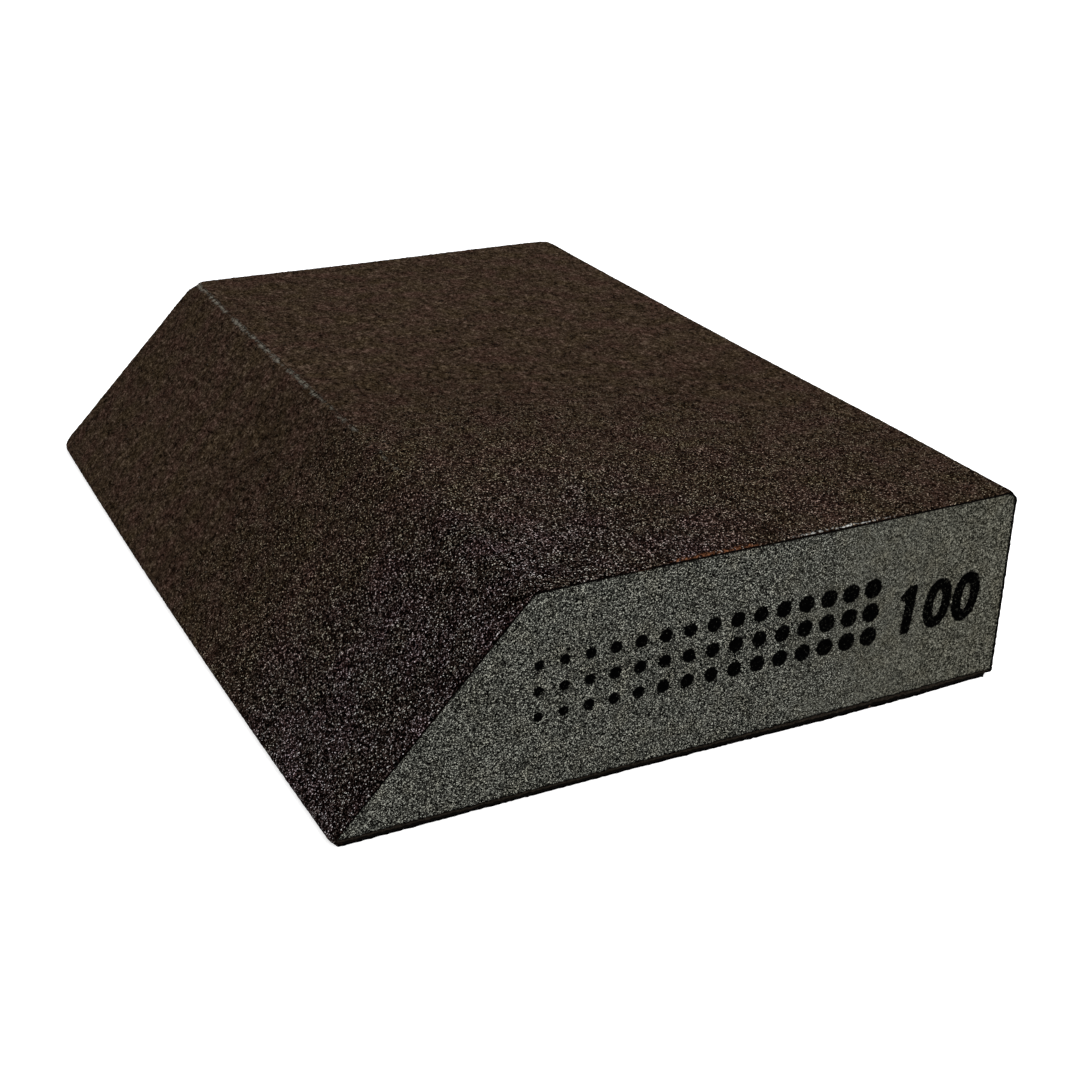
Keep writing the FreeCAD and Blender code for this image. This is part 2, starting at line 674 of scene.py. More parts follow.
@dataclass(frozen=True)
class Scatter:
    """The coarser grains that stand out of a face's bed.

    Attributes:
        section: The bar's section.
        face: The face that they stand on.
        height: Height of the bed's highest points over the foam.
        density: Grains for each square metre.
        rolls: Whether the face's coat rolls round its edges.
        seed: Chooses their places.
        inset: How far they stay from the coat's edges and ends.
        size: Their middle size, in millimetres.
        spread: How much their sizes vary, as a logarithm.
        sizes: Their least and greatest size, in millimetres.
        buried: Least and greatest share of a grain's size that its middle lies deep.
    """

    section: Section
    face: Face
    height: float
    density: float
    rolls: bool
    seed: int
    inset: float = 0.12 * MM
    size: float = 0.25
    spread: float = 0.22
    sizes: tuple[float, float] = (0.16, 0.38)
    buried: tuple[float, float] = (0.42, 0.56)

    def path(self) -> Triple:
        """Measure the coat's way across the bar.

        Returns:
            Lengths of the round before, the flat part and the round after.
        """
        start, end = self.section.flat(self.face, self.height)
        flat = (end - start).length
        if not self.rolls:
            return 0.0, flat, 0.0
        before, after = self.section.rounds[self.face], self.section.round_after(self.face)
        reach_before = before.radius + self.height
        reach_after = after.radius + self.height
        return (
            reach_before * (before.end - before.start),
            flat,
            reach_after * (after.end - after.start),
        )

    def seats(self, places: np.ndarray) -> tuple[np.ndarray, np.ndarray]:
        """Find points and outward directions at distances along the coat's path.

        Args:
            places: Distances from the coat's first edge.

        Returns:
            The points in the section's plane, and their outward directions.
        """
        before, after = self.section.rounds[self.face], self.section.round_after(self.face)
        lead, flat, _ = self.path()
        angle = np.full(len(places), self.section.angle(self.face))
        early, late = places < lead, places > lead + flat
        angle = np.where(early, before.start + places / (before.radius + self.height), angle)
        tail = after.start + (places - lead - flat) / (after.radius + self.height)
        angle = np.where(late, tail, angle)
        outward = np.stack([np.cos(angle), np.zeros(len(angle)), np.sin(angle)], 1)
        start = np.array(self.section.flat(self.face, self.height)[0])
        along = np.array(self.section.along(self.face))
        seat = start + np.clip(places - lead, 0.0, flat)[:, None] * along
        for turned, corner in ((early, before), (late, after)):
            centre = np.array([corner.x, 0.0, corner.z])
            on_round = centre + outward * (corner.radius + self.height)
            seat = np.where(turned[:, None], on_round, seat)
        return seat, outward

    def turns(self, count: int, chance: np.random.Generator) -> np.ndarray:
        """Draw a random turn for each grain.

        Args:
            count: How many grains there are.
            chance: Where the random numbers come from.

        Returns:
            One 3 by 3 matrix for each grain.
        """
        q = chance.normal(size=(count, 4))
        q /= np.linalg.norm(q, axis=1)[:, None]
        w, x, y, z = q.T
        rows = [
            [1 - 2 * (y * y + z * z), 2 * (x * y - z * w), 2 * (x * z + y * w)],
            [2 * (x * y + z * w), 1 - 2 * (x * x + z * z), 2 * (y * z - x * w)],
            [2 * (x * z - y * w), 2 * (y * z + x * w), 1 - 2 * (x * x + y * y)],
        ]
        return np.array(rows).transpose(2, 0, 1)

    def build(self, name: str, shapes: list[Shape]) -> bpy.types.Object:
        """Copy the modelled grains over the face.

        Args:
            name: Name of the piece.
            shapes: The modelled grains.

        Returns:
            All of the face's standing grains, as one piece.
        """
        chance = np.random.default_rng(self.seed)
        width = sum(self.path())
        count = int(width * self.section.length * self.density)
        across = chance.uniform(self.inset, width - self.inset, count)
        half = self.section.length / 2 - self.inset
        seat, outward = self.seats(across)
        seat[:, 1] = chance.uniform(-half, half, count)
        drawn = chance.lognormal(math.log(self.size), self.spread, count)
        size = np.clip(drawn, *self.sizes) * MM
        seat -= outward * (size * chance.uniform(*self.buried, count))[:, None]
        turn = self.turns(count, chance)
        tone = chance.uniform(0.0, 1.0, count)
        points, polygons, tones, taken = [], [], [], 0
        kinds = chance.integers(0, len(shapes), count)
        for kind, (corners, faces) in enumerate(shapes):
            mine = np.flatnonzero(kinds == kind)
            placed = np.einsum("nij,kj->nki", turn[mine], corners) * size[mine, None, None]
            placed += seat[mine, None, :]
            points.append(placed.reshape(-1, 3))
            tones.append(np.repeat(tone[mine], len(corners)))
            for number in range(len(mine)):
                base = taken + number * len(corners)
                polygons += [tuple(base + index for index in face) for face in faces]
            taken += len(mine) * len(corners)
        mesh = bpy.data.meshes.new(name)
        mesh.from_pydata(np.concatenate(points).tolist(), [], polygons)
        piece = bpy.data.objects.new(name, mesh)
        bpy.context.scene.collection.objects.link(piece)
        write_mask(piece, Mask.TONE, np.concatenate(tones))
        return piece


@dataclass(frozen=True)
class Lie:
    """How the soft bar departs from a true prism.

    Attributes:
        section: The bar's section, before it settles.
        sweep: Sideways bow towards the bevel, at the middle of its length.
        swell: Height of the slow waves over its faces.
        wave: Length of those waves.
        waves: Phase of those waves across the bar, their phase along it, and how many
            of them go along it for each one across.
        turned_up: How far the heel's underside stands over the base, where its coat was
            cut off square and curled.
        lip: How far the curled edge stands out.
        curl: The curl round the heel: directions in degrees, and the shares of turned_up
            and of lip that the coat moves by there.
        curl_reach: Distance from the heel's middle that the curl ends at, against its
            coat's own.
        curl_fade: Share of the curl that comes and goes along the bar, and how fast.
        swollen: How much wider and taller than the section the foam stands, as shares.
        lean: How far its top leans out over the square side.
        raised: How far the top stands up towards the front end, across the bar.
        raised_along: Places along the bar where it starts to fade, and has faded.
        proud: How far the whole front end stands out.
        flare: How far the base's cut edge stands out from there, across the bar.
        flare_up: Heights where flare starts to fade, and has faded.
        proud_reach: How far back from the front end both of them reach.
        pinch: How far the square side is drawn in at the front end.
        pinch_across: Places across the bar where the pinch starts, and is full.
        pinch_reach: How far back from the front end it reaches.
        skew: How much shorter the bar is cut at its back end, along the square side.
        skew_across: Place across the bar where the skew starts, and the width that it
            grows over.
        skew_reach: How far from the back end it reaches.
        blunt: Radius that each long edge's corners are blunted to, at the front end and
            at the back end, by the face that the edge lies before.
    """

    section: Section
    sweep: float = 0.59 * MM
    swell: float = 0.06 * MM
    wave: float = 46.0 * MM
    waves: Triple = (0.7, 1.9, 0.8)
    turned_up: float = 0.45 * MM
    lip: float = 0.22 * MM
    curl: tuple[Triple, ...] = (
        (-76.0, -1.0, 0.0),
        (-48.0, -0.3, 0.0),
        (-34.0, 0.0, 1.0),
        (-20.0, 0.0, 0.7),
        (0.0, 0.0, 0.0),
    )
    curl_reach: float = 1.6
    curl_fade: tuple[float, float] = (0.2, 5.0)
    swollen: tuple[float, float] = (0.004, 0.012)
    lean: float = 0.50 * MM
    raised: tuple[tuple[float, float], ...] = (
        (-21.0 * MM, 0.18 * MM),
        (-6.0 * MM, 0.30 * MM),
        (6.0 * MM, 0.24 * MM),
        (18.0 * MM, 0.05 * MM),
        (28.0 * MM, 0.0),
        (35.0 * MM, 0.01 * MM),
        (43.5 * MM, 0.12 * MM),
    )
    raised_along: tuple[float, float] = (-20.0 * MM, 55.0 * MM)
    proud: float = 0.35 * MM
    flare: tuple[tuple[float, float], ...] = (
        (-8.0 * MM, -0.20 * MM),
        (6.0 * MM, 0.0),
        (18.0 * MM, 0.22 * MM),
        (32.0 * MM, 0.20 * MM),
        (40.0 * MM, -0.10 * MM),
    )
    flare_up: tuple[float, float] = (0.1 * MM, 1.3 * MM)
    proud_reach: float = 8.0 * MM
    pinch: float = 0.38 * MM
    pinch_across: tuple[float, float] = (-10.0 * MM, 40.0 * MM)
    pinch_reach: float = 25.0 * MM
    skew: float = 0.80 * MM
    skew_across: tuple[float, float] = (-20.0 * MM, 62.0 * MM)
    skew_reach: float = 20.0 * MM
    blunt: tuple[tuple[Face, float, float], ...] = (
        (Face.BASE, 1.6 * MM, 2.0 * MM),
        (Face.TOP, 1.0 * MM, 2.5 * MM),
        (Face.BEVEL, 0.9 * MM, 2.0 * MM),
    )

    def curl_heel(self, places: np.ndarray, whole: bool) -> None:
        """Turn up the underside of the heel and push its edge out to a lip.

        Args:
            places: Points, one row each, which are moved.
            whole: Whether the piece goes on under the base, and stays whole there.
        """
        heel = self.section.rounds[Face.SIDE]
        across, up = places[:, 0] - heel.x, places[:, 2] - heel.z
        reach = np.hypot(across, up)
        angle = np.degrees(np.arctan2(up, across))
        down = -90.0
        beyond = down - 0.01
        under = 0.0 if whole else -self.turned_up
        angles = [angle_there for angle_there, _, _ in self.curl]
        shifts = [turned * self.turned_up + out * self.lip for _, turned, out in self.curl]
        shift = np.interp(angle, [beyond, down, *angles], [0.0, under, *shifts])
        coated = heel.radius + self.section.film + self.section.grit[Face.SIDE]
        share, pace = self.curl_fade
        fade = 1.0 - share + share * np.cos(places[:, 1] / self.wave * pace)
        curled = reach < self.curl_reach * coated
        scale = np.where(curled, 1.0 + shift * fade / coated, 1.0)
        places[:, 0] = heel.x + across * scale
        places[:, 2] = heel.z + up * scale

    def blunt_corners(self, places: np.ndarray) -> None:
        """Blunt the corners where the long edges meet the sawn ends.

        A square corner of each edge's radius is drawn in to about a quarter of a disc,
        both along the bar and towards its middle.

        Args:
            places: Points, one row each, which are moved.
        """
        coated = self.section.film + self.section.grit[Face.BEVEL]
        for face, front, back in self.blunt:
            corner = self.section.rounds[face]
            outward = (corner.start + corner.end) / 2
            tip = corner.point(outward, coated)
            radius = np.where(places[:, 1] < 0.0, front, back)
            from_edge = np.hypot(places[:, 0] - tip.x, places[:, 2] - tip.z)
            from_end = self.section.length / 2 - np.abs(places[:, 1])
            near_edge = np.clip(1.0 - from_edge / radius, 0.0, 1.0)
            near_end = np.clip(1.0 - from_end / radius, 0.0, 1.0)
            inward = radius * near_edge**2 * (1.0 - np.sqrt(1.0 - near_end**2 / 2))
            shorter = radius * near_end**2 * (1.0 - np.sqrt(1.0 - near_edge**2 / 2))
            places[:, 0] -= inward * math.cos(outward)
            places[:, 2] -= inward * math.sin(outward)
            places[:, 1] -= shorter * np.sign(places[:, 1])

    def raise_top(self, places: np.ndarray) -> None:
        """Lift the top towards the front end.

        Args:
            places: The points, which are moved.
        """
        spots, amounts = zip(*self.raised)
        level = places[:, 2] / CAD_BOX[1][2]
        along = 1.0 - smooth_step(places[:, 1], *self.raised_along)
        places[:, 2] += np.interp(places[:, 0], spots, amounts) * level * along

    def push_front(self, places: np.ndarray) -> None:
        """Push the front end out, and the base's cut edge with its own amount.

        Args:
            places: The points, which are moved.
        """
        spots, amounts = zip(*self.flare)
        from_front = places[:, 1] + self.section.length / 2
        low = 1.0 - smooth_step(places[:, 2], *self.flare_up)
        amount = self.proud + np.interp(places[:, 0], spots, amounts) * low
        places[:, 1] -= amount * (1.0 - smooth_step(from_front, 0.0, self.proud_reach))
        side = smooth_step(places[:, 0], *self.pinch_across)
        near = 1.0 - smooth_step(from_front, 0.0, self.pinch_reach)
        places[:, 0] -= self.pinch * side * near

    def skew_back(self, places: np.ndarray) -> None:
        """Cut the back end slightly out of square.

        Args:
            places: The points, which are moved.
        """
        from_back = self.section.length / 2 - places[:, 1]
        start, width = self.skew_across
        side = np.clip((places[:, 0] - start) / width, 0.0, 1.0)
        places[:, 1] -= self.skew * side * (1.0 - smooth_step(from_back, 0.0, self.skew_reach))

    def settle(self, piece: bpy.types.Object, whole: bool) -> None:
        """Bend a finished piece as the whole bar bends.

        Args:
            piece: The piece.
            whole: Whether it goes on under the base at the heel.
        """
        places = points_of(piece)
        self.curl_heel(places, whole)
        self.blunt_corners(places)
        self.push_front(places)
        self.skew_back(places)
        self.raise_top(places)
        half = (CAD_BOX[1][1] - CAD_BOX[0][1]) / 2
        share = places[:, 1] / half
        level = places[:, 2] / CAD_BOX[1][2]
        turn = 2 * math.pi / self.wave
        phase_across, phase_along, longer = self.waves
        waves = (np.sin(places[:, 0] * turn + phase_across)
                 * np.sin(places[:, 1] * turn * longer + phase_along))
        places[:, 2] -= self.swell * level * (1.0 + waves)
        places[:, 0] *= 1.0 + self.swollen[0]
        places[:, 2] *= 1.0 + self.swollen[1]
        places[:, 0] += self.lean * level - self.sweep * (1.0 - share**2)
        move_points(piece, places)


# --------------------------------------
# Finishes
# --------------------------------------


class Tree:
    """A material's nodes, added one at a time."""

    def __init__(self, name: str) -> None:
        """Start a material with an empty Principled surface.

        Args:
            name: The material's name.
        """
        self.material = bpy.data.materials.new(name)
        self.material.use_nodes = True
        self.nodes = self.material.node_tree.nodes
        self.links = self.material.node_tree.links
        self.surface = self.nodes["Principled BSDF"]

    def add(self, kind: str, **settings: object) -> bpy.types.Node:
        """Add a node.

        Args:
            kind: Its type, without the ShaderNode at the front.
            **settings: Its properties.

        Returns:
            The node.
        """
        node = self.nodes.new("ShaderNode" + kind)
        for key, value in settings.items():
            setattr(node, key, value)
        return node

    def feed(self, socket: bpy.types.NodeSocket, source: object) -> None:
        """Link a socket to another, or set its value.

        Args:
            socket: The socket.
            source: Another node's socket, or a value.
        """
        if isinstance(source, bpy.types.NodeSocket):
            self.links.new(source, socket)
        else:
            socket.default_value = source

    def place(self) -> bpy.types.NodeSocket:
        """Read the object coordinates.

        Returns:
            The coordinates in millimetres.
        """
        coordinates = self.add("TexCoord").outputs["Object"]
        scale = self.add("VectorMath", operation="SCALE")
        self.feed(scale.inputs[0], coordinates)
        self.feed(scale.inputs["Scale"], 1000.0)
        return scale.outputs[0]

    def stretched(self, place: bpy.types.NodeSocket, times: Triple) -> bpy.types.NodeSocket:
        """Coordinates in which a pattern comes out longer along some axes.

        Args:
            place: Coordinates in millimetres.
            times: How many times longer, along each axis.

        Returns:
            The coordinates.
        """
        node = self.add("VectorMath", operation="DIVIDE")
        self.feed(node.inputs[0], place)
        self.feed(node.inputs[1], times)
        return node.outputs[0]

    def sum_up(self, operation: str, a: object, b: object, clamp: bool = False
               ) -> bpy.types.NodeSocket:
        """Work out one operation on two numbers.

        Args:
            operation: The Math node's operation.
            a: First number or socket.
            b: Second number or socket.
            clamp: Whether the result stays from 0 to 1.

        Returns:
            The result.
        """
        node = self.add("Math", operation=operation, use_clamp=clamp)
        self.feed(node.inputs[0], a)
        self.feed(node.inputs[1], b)
        return node.outputs[0]

    def band(self, value: bpy.types.NodeSocket, low: float, high: float) -> bpy.types.NodeSocket:
        """Rise smoothly from 0 to 1.

        Args:
            value: What the rise follows.
            low: The value where it is 0.
            high: The value where it is 1.

        Returns:
            The risen value.
        """
        node = self.add("MapRange", interpolation_type="SMOOTHSTEP")
        self.feed(node.inputs["Value"], value)
        self.feed(node.inputs["From Min"], low)
        self.feed(node.inputs["From Max"], high)
        return node.outputs[0]

    def noise(self, place: bpy.types.NodeSocket, pitch: float, detail: float = 2.0
              ) -> bpy.types.NodeSocket:
        """Soft noise.

        Args:
            place: Coordinates in millimetres.
            pitch: Size of its features in millimetres.
            detail: How much finer noise is added.

        Returns:
            Values round 0.5.
        """
        node = self.add("TexNoise")
        self.feed(node.inputs["Vector"], place)
        self.feed(node.inputs["Scale"], 1.0 / pitch)
        self.feed(node.inputs["Detail"], detail)
        return node.outputs["Fac"]

    def uneven(self, place: bpy.types.NodeSocket, pitch: float, amount: float
               ) -> bpy.types.NodeSocket:
        """Soft noise round 0.

        Args:
            place: Coordinates in millimetres.
            pitch: Size of its features in millimetres.
            amount: What it is multiplied by.

        Returns:
            Values round 0.
        """
        noise = self.sum_up("SUBTRACT", self.noise(place, pitch), 0.5)
        return self.sum_up("MULTIPLY", noise, amount)

    def cells(self, place: bpy.types.NodeSocket, pitch: float, feature: str = "F1"
              ) -> bpy.types.Node:
        """Random cells.

        Args:
            place: Coordinates in millimetres.
            pitch: Distance from cell to cell in millimetres.
            feature: What the node measures.

        Returns:
            The Voronoi node.
        """
        node = self.add("TexVoronoi", feature=feature)
        self.feed(node.inputs["Vector"], place)
        self.feed(node.inputs["Scale"], 1.0 / pitch)
        return node

    def split(self, vector: bpy.types.NodeSocket) -> bpy.types.Node:
        """Take a vector or colour apart.

        Args:
            vector: The vector or colour.

        Returns:
            The node, with one output for each part.
        """
        node = self.add("SeparateXYZ")
        self.feed(node.inputs[0], vector)
        return node

    def distance(self, place: bpy.types.NodeSocket, centre: Triple, stretch: Triple
                 ) -> bpy.types.NodeSocket:
        """Distance from a point, measured further along some axes than others.

        Args:
            place: Coordinates in millimetres.
            centre: The point.
            stretch: How much each axis counts.

        Returns:
            The distance in millimetres.
        """
        offset = tuple(-c * s for c, s in zip(centre, stretch))
        shifted = self.add("VectorMath", operation="MULTIPLY_ADD")
        self.feed(shifted.inputs[0], place)
        self.feed(shifted.inputs[1], stretch)
        self.feed(shifted.inputs[2], offset)
        length = self.add("VectorMath", operation="LENGTH")
        self.feed(length.inputs[0], shifted.outputs[0])
        return length.outputs["Value"]

    def ramp(self, value: object, stops: Stops) -> bpy.types.NodeSocket:
        """Turn a number into a colour.

        Args:
            value: The number, from 0 to 1.
            stops: Places and linear colours, in order.

        Returns:
            The colour.
        """
        node = self.add("ValToRGB")
        elements = node.color_ramp.elements
        while len(elements) < len(stops):
            elements.new(0.5)
        for element, (position, colour) in zip(elements, stops):
            element.position = position
            element.color = (*colour, 1.0)
        self.feed(node.inputs[0], value)
        return node.outputs[0]

    def mix(self, share: object, a: object, b: object, blend: str = "MIX"
            ) -> bpy.types.NodeSocket:
        """Mix two colours.

        Args:
            share: How much of b.
            a: First colour or socket.
            b: Second colour or socket.
            blend: How they are mixed.

        Returns:
            The mixed colour.
        """
        node = self.add("Mix", data_type="RGBA", blend_type=blend)
        colours = [(*c, 1.0) if isinstance(c, tuple) else c for c in (a, b)]
        self.feed(node.inputs["Factor"], share)
        self.feed(node.inputs[6], colours[0])
        self.feed(node.inputs[7], colours[1])
        return node.outputs[2]

    def mask(self, mask: Mask) -> bpy.types.NodeSocket:
        """Read one of a piece's own numbers."""
        return self.add("Attribute", attribute_name=mask.value).outputs["Fac"]

    def facets(self, cell_colour: bpy.types.NodeSocket, tilt: float) -> bpy.types.NodeSocket:
        """Tip the surface a different way in every cell.

        Args:
            cell_colour: A random colour for each cell.
            tilt: How far the cells tip.

        Returns:
            The normal to shade with.
        """
        centred = self.add("VectorMath", operation="SUBTRACT")
        self.feed(centred.inputs[0], cell_colour)
        self.feed(centred.inputs[1], (0.5, 0.5, 0.5))
        tipped = self.add("VectorMath", operation="MULTIPLY_ADD")
        self.feed(tipped.inputs[0], centred.outputs[0])
        self.feed(tipped.inputs[1], (tilt, tilt, tilt))
        self.feed(tipped.inputs[2], self.add("NewGeometry").outputs["Normal"])
        unit = self.add("VectorMath", operation="NORMALIZE")
        self.feed(unit.inputs[0], tipped.outputs[0])
        return unit.outputs[0]

    def bump(self, height: bpy.types.NodeSocket, depth: float,
             normal: bpy.types.NodeSocket | None = None) -> bpy.types.NodeSocket:
        """Fine bumps.

        Args:
            height: Height from 0 to 1.
            depth: Depth of the bumps in metres.
            normal: Normal that they are added to.

        Returns:
            The normal to shade with.
        """
        node = self.add("Bump")
        self.feed(node.inputs["Strength"], 1.0)
        self.feed(node.inputs["Distance"], depth)
        self.feed(node.inputs["Height"], height)
        if normal is not None:
            self.feed(node.inputs["Normal"], normal)
        return node.outputs[0]


@dataclass(frozen=True)
class GritFinish:
    """Brown aluminium oxide grain, closely set in resin.

    Round one corner of the bar the grain carries painted glints: black painted shade
    between the grains and painted highlights on their facets. Further from it, only the
    grain's own duller colours show.

    Attributes:
        pitch: Distance from grain to grain in millimetres.
        glint: Size of the clean grains' facets and of the pits between them.
        lump: Size of the soft clusters of dull grain, and how much they show.
        drawn: How much longer grain and clusters are along the bar, as they were coated.
        gap: Colour between the grains.
        dull: The grain's own colours, from the darkest.
        painted_glints: Colours of the painted glints, from the black painted shade between
        grains to the painted highlights on their facets.
        corner: Where the painted glints are strongest, in millimetres.
        stretch: How much each axis counts in the distance from there.
        reach: Distances at which the painted glints are full, and at which they are gone.
        patch: Size of the patches that these distances vary by, and how far they vary.
        deep: Tint of the dull grain near that corner.
        pale: Its tint away from the corner.
        far: Distances up to which the dull grain is deep, and from which it is pale.
        least: Share of painted glints everywhere.
        vigour: Contrast of the dull grain, and how much more it has where glints are
        painted.
        calm: Share of the clusters that is gone where glints are painted.
        warm: Tint of the painted glints away from that corner.
        cool: Distances at which the painted glints are untinted, and at which they are warm.
        scuff_and_sheen: Colour of the light rim along the top's front edge: rubbed grain,
        with a painted highlight where its grains catch the light.
        rub_and_sheen: Colour of the light line along the ridge: rubbed grain, with a painted
        highlight along the edge.
        amber: Colour of bare resin along a sawn edge.
        ember: Colour of the brightest flecks in it.
        flecks: Random numbers from which a facet of bare resin turns to a fleck, and is one.
        hue: Size of the patches of slightly other hue.
        hues: Tints of those patches.
        tilt: How far the facets tip.
        joint: Distances from a grain's middle at which the gap starts, and is full.
        gap_share: How much the gap shows.
        cut: Values of the cut mask between which a sawn end darkens.
        whole: Size of the breaks in rubbed places, and the noise between which they close.
        bared: Values between which a grain is bared, and what each grain's random number
            gains before it is weighed.
        lit: What each bared grain's random number gains before it lights the grain.
        rough: Least roughness of the bed's grains, and how much it varies.
        step: Height of each grain over its gap.
        chip: Size of the chips in the standing grains.
        chip_shade: How much those chips vary a grain's tone.
        chip_step: Their depth.
        dim: Share of their tones that the standing grains have.
        chip_rough: Least roughness of the standing grains, and how much it varies.
        shine: How much the standing grains reflect.
    """

    pitch: float = 0.24
    glint: float = 0.11
    lump: tuple[float, float] = (0.80, 1.3)
    drawn: Triple = (1.0, 1.5, 1.0)
    gap: Colour = (0.0006, 0.0005, 0.0004)
    dull: Stops = (
        (0.0, (0.0040, 0.0026, 0.0017)),
        (0.3, (0.023, 0.0140, 0.0085)),
        (0.6, (0.043, 0.0275, 0.0180)),
        (0.9, (0.070, 0.047, 0.032)),
        (1.0, (0.115, 0.080, 0.058)),
    )
    painted_glints: Stops = (
        (0.0, (0.0003, 0.0003, 0.0003)),
        (0.62, (0.0010, 0.0007, 0.0006)),
        (0.74, (0.0120, 0.0070, 0.0058)),
        (0.88, (0.064, 0.0415, 0.037)),
        (0.96, (0.29, 0.240, 0.230)),
        (1.0, (0.88, 0.85, 0.85)),
    )
    corner: Triple = (-44.0, -62.0, 0.0)
    stretch: Triple = (0.7, 1.2, 0.7)
    reach: tuple[float, float] = (25.0, 95.0)
    patch: tuple[float, float] = (9.0, 24.0)
    least: float = 0.10
    vigour: tuple[float, float] = (0.58, 1.75)
    calm: float = 0.9
    deep: Colour = (0.66, 0.64, 0.62)
    pale: Colour = (1.08, 1.08, 1.08)
    far: tuple[float, float] = (44.0, 105.0)
    warm: Colour = (0.96, 0.84, 0.62)
    cool: tuple[float, float] = (15.0, 55.0)
    scuff_and_sheen: Colour = (0.58, 0.58, 0.55)
    rub_and_sheen: Colour = (0.165, 0.150, 0.122)
    amber: Colour = (0.046, 0.019, 0.0100)
    ember: Colour = (0.260, 0.108, 0.0520)
    flecks: tuple[float, float] = (0.55, 0.90)
    hue: float = 4.0
    hues: Stops = (
        (0.30, (0.99, 1.02, 0.90)),
        (0.50, WHITE),
        (0.70, (1.08, 0.95, 1.03)),
    )
    tilt: float = 0.6
    joint: tuple[float, float] = (0.44, 0.74)
    gap_share: float = 0.3
    cut: tuple[float, float] = (0.35, 0.80)
    whole: Triple = (0.55, 0.34, 0.56)
    bared: Triple = (0.20, 0.42, 0.35)
    lit: float = 0.45
    rough: tuple[float, float] = (0.45, 0.35)
    step: float = 0.04 * MM
    chip: float = 0.08
    chip_shade: float = 0.3
    chip_step: float = 0.01 * MM
    dim: float = 0.95
    chip_rough: tuple[float, float] = (0.25, 0.3)
    shine: float = 0.05

    def coloured(self, tree: Tree, place: bpy.types.NodeSocket, tone: bpy.types.NodeSocket,
                 glint: bpy.types.NodeSocket) -> bpy.types.NodeSocket:
        """Colour grains by random tones, with painted glints by their place.

        Args:
            tree: The material.
            place: Coordinates in millimetres.
            tone: A random number for each dull grain.
            glint: A random number for each facet where glints are painted.

        Returns:
            The colour.
        """
        size, wander = self.patch
        away = tree.sum_up("ADD", tree.distance(place, self.corner, self.stretch),
                           tree.uneven(place, size, wander))
        painted_glints = tree.sum_up("SUBTRACT", 1.0, tree.band(away, *self.reach))
        painted_glints = tree.sum_up("MAXIMUM", painted_glints, self.least)
        least, more = self.vigour
        vigour = tree.sum_up("ADD", tree.sum_up("MULTIPLY", painted_glints, more), least)
        size, strength = self.lump
        lumps = tree.noise(tree.stretched(place, self.drawn), size, 1.0)
        lumps = tree.sum_up("SUBTRACT", lumps, 0.5)
        calm = tree.sum_up("SUBTRACT", 1.0, tree.sum_up("MULTIPLY", painted_glints, self.calm))
        lumps = tree.sum_up("MULTIPLY", lumps, calm)
        level = tree.sum_up("ADD", tree.sum_up("MULTIPLY", lumps, strength), 0.5)
        spread = tree.sum_up("MULTIPLY", tree.sum_up("SUBTRACT", tone, 0.5), vigour)
        dull = tree.ramp(tree.sum_up("ADD", level, spread, clamp=True), self.dull)
        pale = tree.ramp(tree.band(away, *self.far), ((0.0, self.deep), (1.0, self.pale)))
        dull = tree.mix(1.0, dull, pale, "MULTIPLY")
        tint = tree.ramp(tree.band(away, *self.cool), ((0.0, WHITE), (1.0, self.warm)))
        # Painted glints: black painted shade between grains, painted highlights on facets.
        clear = tree.mix(1.0, tree.ramp(glint, self.painted_glints), tint, "MULTIPLY")
        colour = tree.mix(painted_glints, dull, clear)
        hue = tree.ramp(tree.noise(place, self.hue, 1.0), self.hues)
        return tree.mix(1.0, colour, hue, "MULTIPLY")

    def bed(self) -> bpy.types.Material:
        """Build the material of the even grain bed.

        Returns:
            The material.
        """
        tree = Tree("grit_bed")
        place = tree.place()
        grains = tree.cells(tree.stretched(place, self.drawn), self.pitch)
        random = tree.split(grains.outputs["Color"])
        glint = tree.split(tree.cells(place, self.glint).outputs["Color"]).outputs[0]
        colour = self.coloured(tree, place, random.outputs[0], glint)
        gap = tree.band(grains.outputs["Distance"], *self.joint)
        gap = tree.sum_up("MULTIPLY", gap, self.gap_share)
        gap = tree.sum_up("MAXIMUM", gap, tree.band(tree.mask(Mask.CUT), *self.cut))
        colour = tree.mix(gap, colour, self.gap)
        size, broken, closed = self.whole
        whole = tree.band(tree.noise(place, size, 1.0), broken, closed)
        resin = tree.mix(tree.band(glint, *self.flecks), self.amber, self.ember)
        fresh, bared, chance = self.bared
        # Bare resin along the sawn edge is its own colour; the rim and the ridge line are rubbed
        # grain with a painted highlight.
        for mask, bare, steady in ((Mask.AMBER, resin, 0.0), (Mask.WEAR, self.scuff_and_sheen, 0.0),
                                   (Mask.RIDGE, self.rub_and_sheen, 0.5)):
            kept = tree.sum_up("ADD", tree.sum_up("MULTIPLY", whole, 1.0 - steady), steady)
            rubbed = tree.sum_up("MULTIPLY", tree.mask(mask), kept)
            weight = tree.sum_up("ADD", random.outputs[1], chance)
            share = tree.band(tree.sum_up("MULTIPLY", rubbed, weight), fresh, bared)
            light = tree.sum_up("ADD", random.outputs[2], self.lit)
            tint = tree.mix(tree.sum_up("MULTIPLY", rubbed, light), self.gap, bare)
            colour = tree.mix(share, colour, tint)
        tree.feed(tree.surface.inputs["Base Color"], colour)
        least, more = self.rough
        gloss = tree.sum_up("MULTIPLY", random.outputs[1], more)
        tree.feed(tree.surface.inputs["Roughness"], tree.sum_up("ADD", gloss, least))
        # No reflection of its own: the bed's glints are painted into its colour.
        tree.surface.inputs["Specular IOR Level"].default_value = 0.0
        facets = tree.facets(grains.outputs["Color"], self.tilt)
        edge = tree.sum_up("SUBTRACT", 1.0, grains.outputs["Distance"])
        tree.feed(tree.surface.inputs["Normal"], tree.bump(edge, self.step, facets))
        return tree.material

